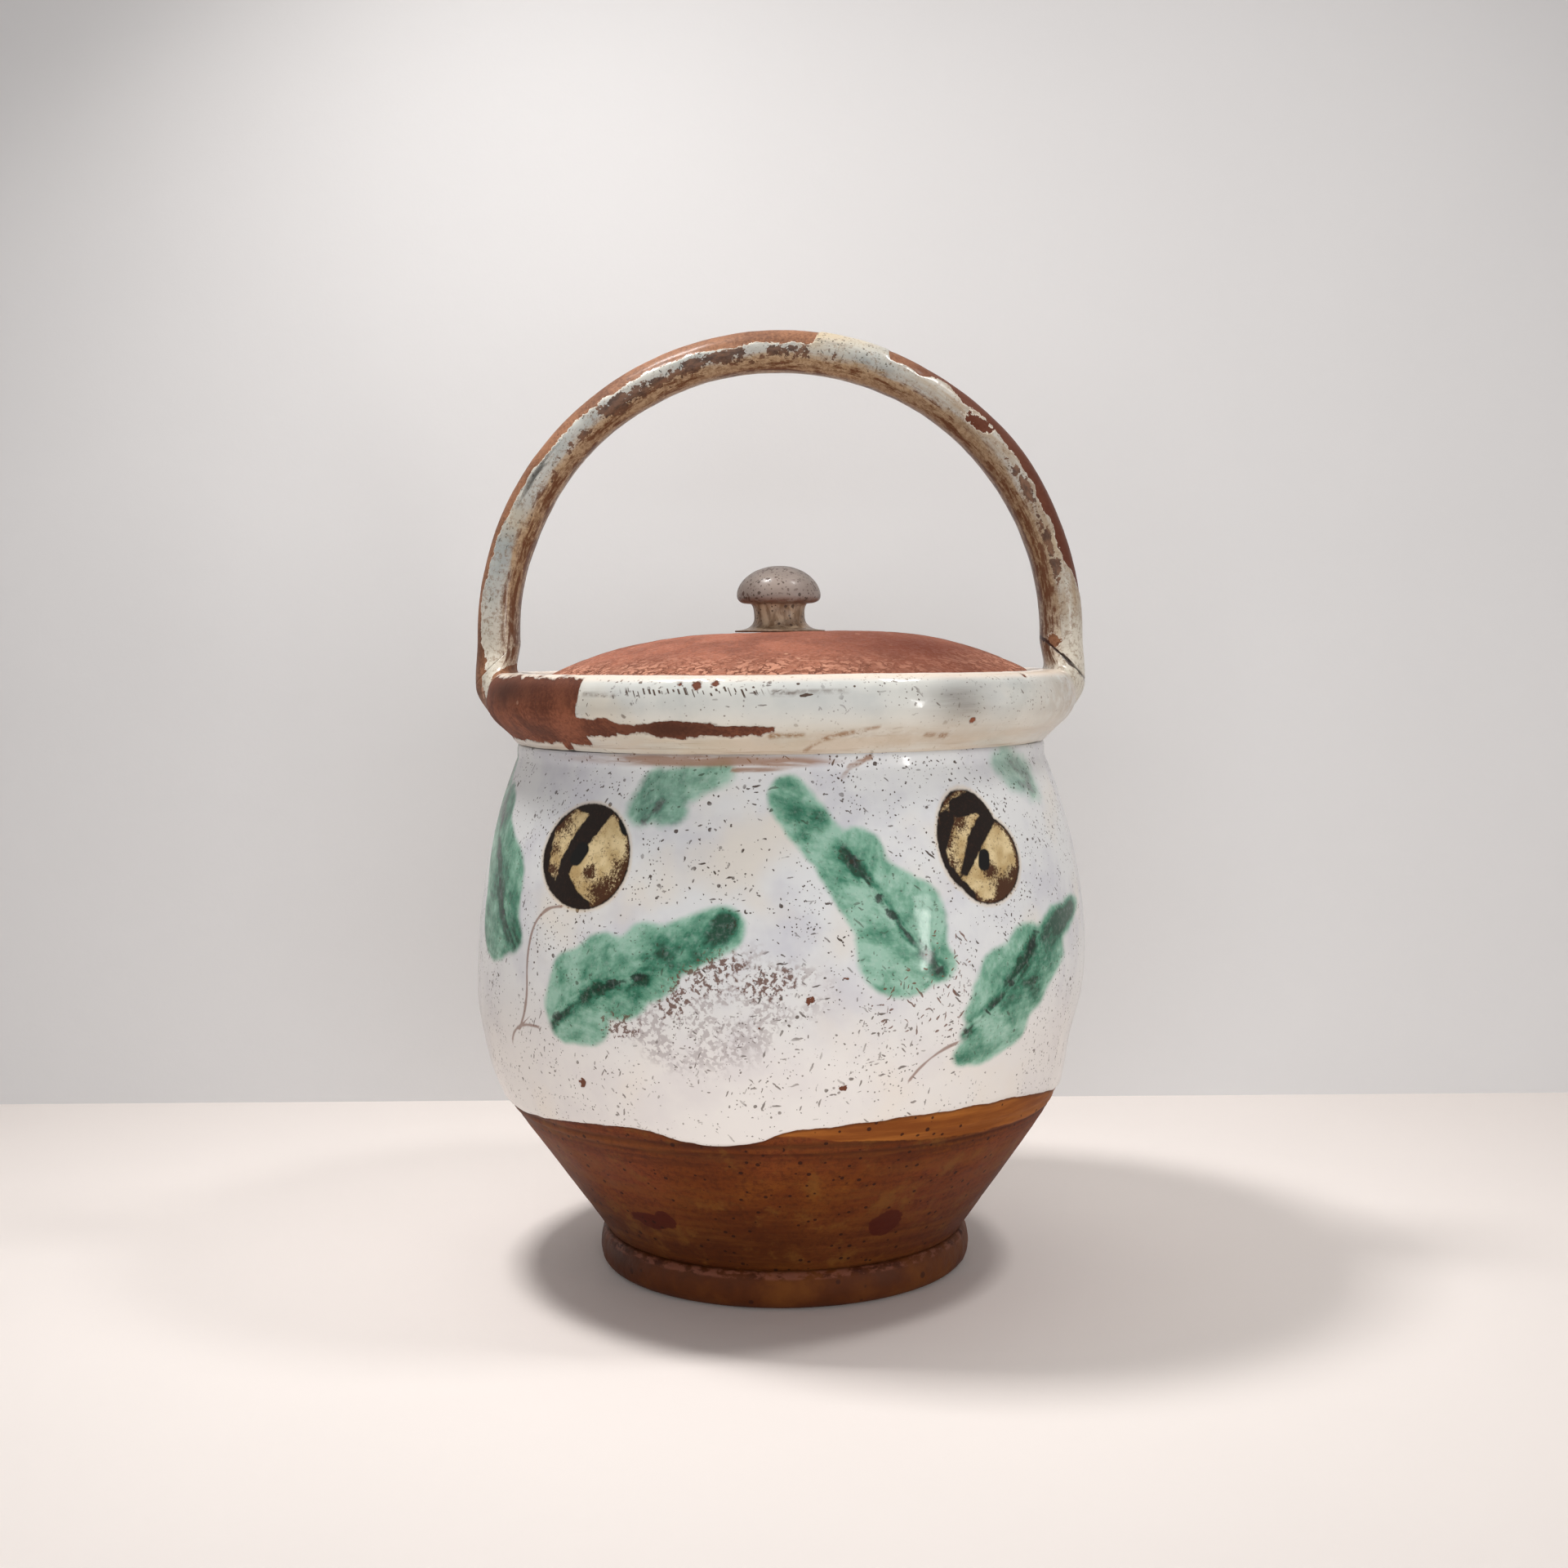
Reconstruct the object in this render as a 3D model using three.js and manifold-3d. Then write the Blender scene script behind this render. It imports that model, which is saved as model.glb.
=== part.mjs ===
// Lidded earthenware pot with a fixed overhead handle.
// Millimetres, +Z up. The origin is on the table, on the pot's axis; the handle spans X.
import * as THREE from "three";
import { mergeVertices } from "three/addons/utils/BufferGeometryUtils.js";
import Module from "manifold-3d";

const wasm = await Module();
wasm.setup();

// Joint line left where one clay piece is luted to, or rests on, another
const jointLine = 0.3;

// Foot ring
const footHeight = 12.5;
const footBaseRadius = 60;
const footFlare = 3.9;
const footRingWidth = 11;
const footEdgeRound = 1.5;

// Thrown body: a straight cone, a turn into the belly, a shoulder and a short neck band
const wallThickness = 6;
const floorThickness = 8;
const floorCorner = 9;
const coneStep = 1.5;
const coneTopHeight = 56.3;
const coneTopInset = 11.8;
const bellyRadius = 103.5;
const bellyHeight = 105;
const neckRadius = 89.3;
const neckHeight = 179.2;
const neckBand = 4.2;

// Rolled rim with the gallery that holds the lid
const collarHeight = 24;
const collarOverhang = 11.2;
const collarWidestRise = 14.5;
const collarUndercutRise = 6.6;
const collarUndercutReach = 7.2;
const crestInset = 5.9;
const crestRound = 0.8;
const lipWidth = 7.6;
const lipRound = 1.6;
const galleryDepth = 8;
const ledgeWidth = 10;

// Lid
const lidClearance = 1.7;
const lidEdge = 5.1;
const lidDrop = 15.5;
const lidThickness = 6;
const lidSeatWidth = 6;
const lidDomePower = 2.5;

// Knob
const knobHeight = 22.7;
const knobHeadRadius = 14.4;
const knobHeadHeight = 12.9;
const knobHeadRound = 2.7;
const knobNeckRadius = 8.6;
const knobBaseRadius = 15.5;
const knobBaseLip = 0.6;

// Overhead handle, pulled to an oval bar and pressed onto the rim with a clay pad at each end
const handleInset = 4.1;
const handleLegHeight = 12;
const barDepth = 14.6;
const barWidth = 17.4;
const footDepthGain = 0.1;
const footWidthGain = 0.5;
const padReach = 13.5;
const padThickness = 3.4;
const padTilt = THREE.MathUtils.degToRad(45);

// Facets
const turnSegments = 56;
const knobSegments = 32;
const curveSteps = 6;
const knobCurveSteps = 4;
const barSides = 16;
const archSteps = 28;
const legSteps = 4;
const padSteps = 6;

// Heights and radii that follow from the sizes above
const bodyBottom = footHeight + jointLine;
const floorTop = bodyBottom + floorThickness;
const coneBaseRadius = footBaseRadius + coneStep;
const coneTopRadius = bellyRadius - coneTopInset;
const neckInnerRadius = neckRadius - wallThickness;
const collarBottom = neckHeight + jointLine;
const collarTop = collarBottom + collarHeight;
const collarRadius = neckRadius + collarOverhang;
const crestRadius = collarRadius - crestInset;
const galleryRadius = crestRadius - lipWidth;
const ledgeTop = collarTop - galleryDepth;
const lidRadius = galleryRadius - lidClearance;
const lidBottom = ledgeTop + jointLine;
const lidCrown = lidBottom + lidEdge + lidDrop;
const knobBottom = lidCrown + jointLine;
const handleRadius = collarRadius - handleInset;
const archHeight = collarTop + handleLegHeight;

// A closed solid turned about the Z axis from an outline of radius and height
function turned(outline, segments) {
  return new THREE.LatheGeometry(outline, segments).rotateX(Math.PI / 2);
}

// An outline that runs upwards, moved along its own normals; positive is outwards
function offsetOutline(outline, distance) {
  return outline.map((point, i) => {
    const before = outline[Math.max(i - 1, 0)];
    const after = outline[Math.min(i + 1, outline.length - 1)];
    const along = new THREE.Vector2().subVectors(after, before).normalize();
    return new THREE.Vector2(point.x + along.y * distance, point.y - along.x * distance);
  });
}

// Conversions between three.js geometry and solids that can be cut
function toSolid(geometry) {
  const bare = geometry.clone();
  bare.deleteAttribute("normal");
  bare.deleteAttribute("uv");
  const merged = mergeVertices(bare, 1e-3);
  const mesh = new wasm.Mesh({
    numProp: 3,
    vertProperties: merged.attributes.position.array,
    triVerts: new Uint32Array(merged.index.array),
  });
  return new wasm.Manifold(mesh);
}

function toGeometry(solid) {
  const mesh = solid.getMesh();
  const geometry = new THREE.BufferGeometry();
  geometry.setAttribute("position", new THREE.BufferAttribute(mesh.vertProperties, 3));
  geometry.setIndex(new THREE.BufferAttribute(mesh.triVerts, 1));
  geometry.computeVertexNormals();
  return geometry;
}

// Ring foot, open underneath, standing on a flat annulus
function footRing() {
  const baseInner = footBaseRadius - footRingWidth;
  const bulge = footBaseRadius + footFlare;
  const outline = new THREE.Path();
  outline.moveTo(baseInner, 0);
  outline.lineTo(footBaseRadius - footEdgeRound, 0);
  outline.quadraticCurveTo(bulge, 0, bulge, footHeight / 2);
  outline.quadraticCurveTo(bulge, footHeight - footEdgeRound, coneBaseRadius, footHeight);
  outline.lineTo(baseInner, footHeight);
  outline.lineTo(baseInner, 0);
  return turned(outline.getPoints(curveSteps), turnSegments);
}

// Outside of the thrown wall, from the foot to the neck
function wallOutline() {
  const coneSlope = (coneTopRadius - coneBaseRadius) / (coneTopHeight - bodyBottom);
  const turnHeight = Math.min(coneTopHeight + coneTopInset / coneSlope, bellyHeight);
  const shoulderTop = neckHeight - neckBand;
  const outline = new THREE.Path();
  outline.moveTo(coneBaseRadius, bodyBottom);
  outline.lineTo(coneTopRadius, coneTopHeight);
  outline.quadraticCurveTo(bellyRadius, turnHeight, bellyRadius, bellyHeight);
  outline.quadraticCurveTo(bellyRadius, (bellyHeight + shoulderTop) / 2, neckRadius, shoulderTop);
  outline.lineTo(neckRadius, neckHeight);
  return outline.getPoints(curveSteps);
}

// Hollow body: the wall, an even thickness inside it, and a flat floor with a rounded corner
function potBody() {
  const outside = wallOutline();
  const inside = offsetOutline(outside, -wallThickness);
  const innerFoot = inside[0];
  const innerCone = inside[1];
  const innerSlope = (innerCone.x - innerFoot.x) / (innerCone.y - innerFoot.y);
  const innerRadiusAt = (height) => innerCone.x + innerSlope * (height - innerCone.y);
  const cornerTop = floorTop + floorCorner;

  const corner = new THREE.Path();
  corner.moveTo(0, floorTop);
  corner.lineTo(innerRadiusAt(floorTop) - floorCorner, floorTop);
  corner.quadraticCurveTo(innerRadiusAt(floorTop), floorTop, innerRadiusAt(cornerTop), cornerTop);

  const rising = inside.slice(1, -1).filter((point) => point.y > cornerTop);
  const inner = [...corner.getPoints(curveSteps), ...rising];
  inner.push(new THREE.Vector2(neckInnerRadius, neckHeight));
  const outline = [new THREE.Vector2(0, bodyBottom), ...outside, ...inner.reverse()];
  return turned(outline, turnSegments);
}

// Outside of the rolled rim, from the neck up over the widest point to the crest
function collarOutside() {
  const undercut = collarBottom + collarUndercutRise;
  const widest = collarBottom + collarWidestRise;
  const outline = new THREE.Path();
  outline.moveTo(neckRadius, collarBottom);
  outline.lineTo(neckRadius + collarUndercutReach, undercut);
  outline.quadraticCurveTo(collarRadius, (undercut + widest) / 2, collarRadius, widest);
  outline.quadraticCurveTo(collarRadius, collarTop - crestRound, crestRadius, collarTop);
  return outline.getPoints(curveSteps);
}

// Rim with a gallery: lip, upright gallery wall, ledge, and a throat down to the neck
function rimCollar() {
  const ledgeRadius = galleryRadius - ledgeWidth;
  const inside = new THREE.Path();
  inside.moveTo(galleryRadius + lipRound, collarTop);
  inside.quadraticCurveTo(galleryRadius, collarTop, galleryRadius, collarTop - lipRound);
  inside.lineTo(galleryRadius, ledgeTop);
  inside.lineTo(ledgeRadius, ledgeTop);
  inside.quadraticCurveTo(ledgeRadius, (ledgeTop + collarBottom) / 2, neckInnerRadius, collarBottom);
  const outside = collarOutside();
  return turned([...outside, ...inside.getPoints(curveSteps), outside[0].clone()], turnSegments);
}

// Everything within the joint line of the rim's outside; clears the pads off it
function collarEnvelope() {
  const grown = offsetOutline(collarOutside(), jointLine);
  const outline = [new THREE.Vector2(0, grown[0].y), ...grown];
  outline.push(new THREE.Vector2(0, grown.at(-1).y));
  return turned(outline, turnSegments);
}

// Shallow dome with a flat seat for the knob and a flat ring underneath for the ledge
function lidDome() {
  const seatRadius = lidRadius - lidSeatWidth;
  const underCrown = lidCrown - lidThickness;
  const topAt = (share) => lidCrown - lidDrop * share ** lidDomePower;
  const underAt = (share) => underCrown - (underCrown - lidBottom) * share ** lidDomePower;
  const shares = Array.from({ length: curveSteps + 1 }, (_, i) => i / curveSteps);
  const top = shares.map((share) => {
    const radius = THREE.MathUtils.lerp(knobBaseRadius, lidRadius, share);
    return new THREE.Vector2(radius, topAt(share));
  });
  const under = shares.map((share) => new THREE.Vector2(seatRadius * share, underAt(share)));
  const edge = new THREE.Vector2(lidRadius, lidBottom);
  const centre = new THREE.Vector2(0, lidCrown);
  return turned([...under, edge, ...top.reverse(), centre], turnSegments);
}

// Mushroom knob: a foot that flares onto the lid, a waist, and a rounded head
function lidKnob() {
  const headBottom = knobBottom + knobHeight - knobHeadHeight;
  const headWidest = headBottom + knobHeadRound;
  const headTop = knobBottom + knobHeight;
  const waist = (knobBottom + headBottom) / 2;
  const outline = new THREE.Path();
  outline.moveTo(0, knobBottom);
  outline.lineTo(knobBaseRadius, knobBottom);
  outline.lineTo(knobBaseRadius, knobBottom + knobBaseLip);
  outline.quadraticCurveTo(knobNeckRadius, knobBottom + knobBaseLip, knobNeckRadius, waist);
  outline.lineTo(knobNeckRadius, headBottom - knobBaseLip);
  outline.lineTo(knobHeadRadius - knobHeadRound, headBottom);
  outline.quadraticCurveTo(knobHeadRadius, headBottom, knobHeadRadius, headWidest);
  outline.absellipse(0, headWidest, knobHeadRadius, headTop - headWidest, 0, Math.PI / 2, false);
  return turned(outline.getPoints(knobCurveSteps), knobSegments);
}

// One oval section of the handle: a point on its centre line, the way its depth points, and its half sizes
function barSection(centre, depthWay, halfDepth, halfWidth) {
  return Array.from({ length: barSides }, (_, i) => {
    const angle = (2 * Math.PI * i) / barSides;
    const point = centre.clone().addScaledVector(depthWay, halfDepth * Math.cos(angle));
    point.y += halfWidth * Math.sin(angle);
    return point;
  });
}

// Sections down one leg, below the arch: they widen to the rim, then round off to a blunt tip over it
function legSections(side) {
  const outwards = new THREE.Vector3(side, 0, 0);
  const at = (height) => new THREE.Vector3(side * handleRadius, 0, height);
  const section = (height, spread, taper) => {
    const halfDepth = (barDepth / 2) * (1 + footDepthGain * spread) * taper;
    const halfWidth = (barWidth / 2) * (1 + footWidthGain * spread) * taper;
    return barSection(at(height), outwards, halfDepth, halfWidth);
  };
  const sections = [];
  for (let i = 1; i <= legSteps; i += 1) {
    const share = i / legSteps;
    sections.push(section(archHeight - handleLegHeight * share, THREE.MathUtils.smoothstep(share, 0, 1), 1));
  }
  for (let i = 1; i < padSteps; i += 1) {
    const angle = (Math.PI / 2) * (i / padSteps);
    sections.push(section(collarTop - padReach * Math.sin(angle), 1, Math.cos(angle)));
  }
  return { sections, tip: at(collarTop - padReach) };
}

// Skin over a row of sections of equal count, closed to a point at each end
function loft(sections, firstTip, lastTip) {
  const positions = [...sections.flat(), firstTip, lastTip].flatMap((point) => point.toArray());
  const count = sections[0].length;
  const first = sections.length * count;
  const last = first + 1;
  const triangles = [];
  for (let side = 0; side < count; side += 1) {
    const next = (side + 1) % count;
    triangles.push(first, next, side);
    for (let row = 0; row + 1 < sections.length; row += 1) {
      const low = row * count;
      const high = low + count;
      triangles.push(low + side, low + next, high + side);
      triangles.push(low + next, high + next, high + side);
    }
    const top = first - count;
    triangles.push(last, top + side, top + next);
  }
  const geometry = new THREE.BufferGeometry();
  geometry.setAttribute("position", new THREE.Float32BufferAttribute(positions, 3));
  geometry.setIndex(triangles);
  return geometry;
}

// The whole handle from tip to tip, before it is parted from its pads
function handleBar() {
  const right = legSections(1);
  const left = legSections(-1);
  const arch = Array.from({ length: archSteps + 1 }, (_, i) => {
    const angle = (Math.PI * i) / archSteps;
    const outwards = new THREE.Vector3(Math.cos(angle), 0, Math.sin(angle));
    const centre = new THREE.Vector3(0, 0, archHeight).addScaledVector(outwards, handleRadius);
    return barSection(centre, outwards, barDepth / 2, barWidth / 2);
  });
  // the depth direction keeps turning with the arch, so the left leg's sections point outwards too
  const sections = [...right.sections.reverse(), ...arch, ...left.sections];
  return loft(sections, right.tip, left.tip);
}

// Block under the slanted joint at one end of the handle; a rise lifts its face off the joint
function belowJoint(side, rise) {
  const size = barWidth * 4;
  const block = new THREE.BoxGeometry(size, size, size);
  const normal = new THREE.Vector3(side * Math.sin(padTilt), 0, Math.cos(padTilt));
  const joint = new THREE.Vector3(side * handleRadius, 0, collarTop + padThickness);
  const centre = joint.addScaledVector(normal, rise - size / 2);
  block.rotateY(side * padTilt);
  return block.translate(centre.x, centre.y, centre.z);
}

// The arch that is gripped, cut off square to the slanted joint above each pad
function handleArch() {
  const cutRight = toSolid(belowJoint(1, jointLine / 2));
  const cutLeft = toSolid(belowJoint(-1, jointLine / 2));
  return toGeometry(toSolid(handleBar()).subtract(cutRight).subtract(cutLeft));
}

// Clay pad that saddles the rim under one end of the handle
function handlePad(side) {
  const end = toSolid(handleBar()).intersect(toSolid(belowJoint(side, -jointLine / 2)));
  return toGeometry(end.subtract(toSolid(collarEnvelope())));
}

// Finishes
const creamGlaze = { color: 0xe3dbd0, roughness: 0.24, metalness: 0 };
const wornGlaze = { color: 0xc9bba8, roughness: 0.32, metalness: 0 };
const honeyGlaze = { color: 0x7c4826, roughness: 0.36, metalness: 0 };
const bareClay = { color: 0xa4573c, roughness: 0.82, metalness: 0 };
const greyGlaze = { color: 0xa89a8d, roughness: 0.3, metalness: 0 };

function piece(name, geometry, finish) {
  const mesh = new THREE.Mesh(geometry, new THREE.MeshStandardMaterial(finish));
  mesh.name = name;
  return mesh;
}

const pot = new THREE.Group();
pot.add(
  piece("foot_ring", footRing(), honeyGlaze),
  piece("pot_body", potBody(), creamGlaze),
  piece("rim_collar", rimCollar(), creamGlaze),
  piece("handle_pad_left", handlePad(-1), bareClay),
  piece("handle_pad_right", handlePad(1), creamGlaze),
  piece("handle_arch", handleArch(), wornGlaze),
);

const lid = new THREE.Group();
lid.add(piece("lid_dome", lidDome(), bareClay), piece("lid_knob", lidKnob(), greyGlaze));

const assembly = new THREE.Group();
assembly.add(pot, lid);

export default assembly;
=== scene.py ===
import math

import bpy
import numpy as np
from mathutils import Matrix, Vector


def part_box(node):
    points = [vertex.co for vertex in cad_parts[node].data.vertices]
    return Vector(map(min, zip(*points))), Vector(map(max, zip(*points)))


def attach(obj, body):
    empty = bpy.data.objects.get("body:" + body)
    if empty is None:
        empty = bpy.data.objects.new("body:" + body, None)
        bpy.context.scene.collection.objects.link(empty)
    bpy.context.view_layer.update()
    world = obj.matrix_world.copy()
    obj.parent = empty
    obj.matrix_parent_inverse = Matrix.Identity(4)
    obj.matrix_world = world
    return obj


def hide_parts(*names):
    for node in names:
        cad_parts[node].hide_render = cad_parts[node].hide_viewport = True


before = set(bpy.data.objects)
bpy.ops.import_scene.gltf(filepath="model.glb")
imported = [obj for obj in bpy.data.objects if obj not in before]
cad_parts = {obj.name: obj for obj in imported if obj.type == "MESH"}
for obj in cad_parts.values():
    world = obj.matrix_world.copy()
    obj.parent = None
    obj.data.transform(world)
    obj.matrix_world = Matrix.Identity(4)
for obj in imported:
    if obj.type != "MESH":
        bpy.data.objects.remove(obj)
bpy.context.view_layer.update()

mm = 0.001  # shapes are worked out in millimetres and scaled to metres at the end


# Numbers and outlines

def nodeSpan(node):
    low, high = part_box(node)
    return np.array(low) / mm, np.array(high) / mm


def ease(low, high, value):
    share = np.clip((value - low) / (high - low), 0, 1)
    return share * share * (3 - 2 * share)


def bump(value, middle, reach):
    return np.exp(-((value - middle) / reach) ** 2)


def softNoise(points, cell, seed):
    # smooth random values from -1 to 1, with one lattice corner every cell millimetres
    corner = np.floor(points / cell).astype(np.int64)
    share = points / cell - corner
    share = share * share * (3 - 2 * share)
    total = np.zeros(points.shape[:-1])
    for step in np.ndindex(2, 2, 2):
        key = (corner + step) @ np.array([73856093, 19349663, 83492791]) + seed * 6542989
        key = (key ^ (key >> 13)) * 1274126177
        value = ((key ^ (key >> 16)) & 0xFFFF) / 32767.5 - 1
        total += value * np.where(np.array(step, bool), share, 1 - share).prod(-1)
    return total


def layeredNoise(points, cell, seed, layers=3):
    return sum(softNoise(points, cell / 2 ** k, seed + k) / 2 ** k for k in range(layers))


def uneven(points, waves):
    # waves: how far they move the surface, their length, the noise's seed and its layers
    return sum(far * layeredNoise(points, cell, seed, layers) for far, cell, seed, layers in waves)


def bend(start, control, end, count=24):
    share = np.linspace(0, 1, count)[:, None]
    start, control, end = (np.array(point, float) for point in (start, control, end))
    return (1 - share) ** 2 * start + 2 * share * (1 - share) * control + share ** 2 * end


def runLength(outline):
    return np.r_[0, np.cumsum(np.hypot(*np.diff(outline, axis=0).T))]


def evenly(outline, spacing):
    # the same outline with points at an even spacing along it
    outline = np.asarray(outline, float)
    steps = np.hypot(*np.diff(outline, axis=0).T)
    outline = outline[np.r_[True, steps > 1e-6]]
    length = runLength(outline)
    count = max(int(round(length[-1] / spacing)), 2)
    at = np.linspace(0, length[-1], count + 1)
    return np.column_stack([np.interp(at, length, outline[:, axis]) for axis in (0, 1)])


def joinOutlines(*parts):
    joined = [parts[0]]
    for part in parts[1:]:
        repeated = np.allclose(joined[-1][-1], part[0], atol=1e-6)
        joined.append(part[1:] if repeated else part)
    return np.vstack(joined)


def outlineNormals(outline, closed):
    # an outline that rises on the outside has its normals pointing outwards
    if closed:
        along = np.roll(outline, -1, 0) - np.roll(outline, 1, 0)
    else:
        along = np.gradient(outline, axis=0)
    along /= np.linalg.norm(along, axis=1)[:, None]
    return np.column_stack([along[:, 1], -along[:, 0]])


def smoothSteps(t):
    # weights of the start, the end and the slopes at both, for a smooth curve from 0 to 1
    return 2 * t ** 3 - 3 * t ** 2 + 1, 3 * t ** 2 - 2 * t ** 3, t ** 3 - 2 * t ** 2 + t, t ** 3 - t ** 2


def roundTheLoop(knots, degrees):
    # smooth heights through (degrees, height) knots that close round the pot
    at, value = np.array(sorted(knots), float).T
    degrees = (degrees - at[0]) % 360 + at[0]
    at = np.r_[at[-2:] - 360, at, at[:2] + 360]
    value = np.r_[value[-2:], value, value[:2]]
    slope = np.gradient(value, at)
    k = np.clip(np.searchsorted(at, degrees) - 1, 0, len(at) - 2)
    width = at[k + 1] - at[k]
    start, end, rise, land = smoothSteps((degrees - at[k]) / width)
    return value[k] * start + value[k + 1] * end + (slope[k] * rise + slope[k + 1] * land) * width


def nearest(base, layers):
    # the values of whichever layer is closest; a layer starts with its distance
    for layer in layers:
        closer = layer[0] < base[0]
        base = [np.where(closer, new, old) for new, old in zip(layer, base)]
    return base


# Meshes from grids of points

def turnedGrid(outline, columns, closed):
    # turn is 0 at the painted front and grows towards the handle's right end
    turn = np.linspace(-math.pi, math.pi, columns, endpoint=False)
    ring = np.stack([np.sin(turn), -np.cos(turn)], -1)

    def spun(pairs):
        flat = pairs[:, 0][:, None, None] * ring
        height = np.broadcast_to(pairs[:, 1][:, None, None], (len(pairs), columns, 1))
        return np.concatenate([flat, height], -1)

    degrees = np.broadcast_to(np.degrees(turn), (len(outline), columns))
    return spun(outline), spun(outlineNormals(outline, closed)), degrees


def fromAxis(points):
    return np.hypot(points[..., 0], points[..., 1])


def meshPiece(name, grid, closed, fields, flip=False):
    # closed grids join their last row to the first; others end in a point at both ends
    columns = grid.shape[1]
    rows = grid if closed else grid[1:-1]
    index = np.arange(rows.shape[0] * columns).reshape(-1, columns)
    low = index if closed else index[:-1]
    high = np.roll(index, -1, 0) if closed else index[1:]
    quads = np.stack([low, np.roll(low, -1, 1), np.roll(high, -1, 1), high], -1)
    faces = quads.reshape(-1, 4).tolist()
    vertices = rows.reshape(-1, 3)
    if not closed:
        first = len(vertices)
        vertices = np.vstack([vertices, grid[0, :1], grid[-1, :1]])
        for here, beside in zip(index[0].tolist(), np.roll(index[0], -1).tolist()):
            faces.append([first, beside, here])
        for here, beside in zip(index[-1].tolist(), np.roll(index[-1], -1).tolist()):
            faces.append([here, beside, first + 1])
    if flip:
        faces = [face[::-1] for face in faces]
    mesh = bpy.data.meshes.new(name)
    mesh.from_pydata((vertices * mm).tolist(), [], faces)
    mesh.shade_smooth()
    for label, values in fields.items():
        vector = values.ndim == 3
        inner = (values if closed else values[1:-1]).reshape(-1, 3 if vector else 1)
        if not closed:
            inner = np.vstack([inner, values[[0, -1], [0, 0]].reshape(2, -1)])
        attribute = mesh.attributes.new(label, "FLOAT_VECTOR" if vector else "FLOAT", "POINT")
        attribute.data.foreach_set("vector" if vector else "value", inner.astype(np.float32).ravel())
    piece = bpy.data.objects.new(name, mesh)
    bpy.context.scene.collection.objects.link(piece)
    return piece


def fitPiece(piece, body, node, material):
    piece.data.materials.append(material)
    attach(piece, body)
    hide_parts(node)
    print(f"{piece.name}: {len(piece.data.polygons)} faces")


# Shader nodes

def tone(red, green, blue):
    # screen values from 0 to 255, as a linear shader colour
    levels = np.array([red, green, blue]) / 255
    straight = np.where(levels <= 0.04045, levels / 12.92, ((levels + 0.055) / 1.055) ** 2.4)
    return (*straight.tolist(), 1.0)


def fill(node, inputs):
    for key, value in inputs.items():
        if isinstance(value, Shade):
            node.id_data.links.new(value.socket, node.inputs[key])
        else:
            node.inputs[key].default_value = value


def addNode(tree, kind, inputs, **settings):
    node = tree.nodes.new("ShaderNode" + kind)
    for key, value in settings.items():
        setattr(node, key, value)
    fill(node, inputs)
    return node


def maths(operation, turned=False):
    def work(self, other=0.0):
        first, second = (other, self) if turned else (self, other)
        return self.node("Math", {0: first, 1: second}, operation=operation)

    return work


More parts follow.
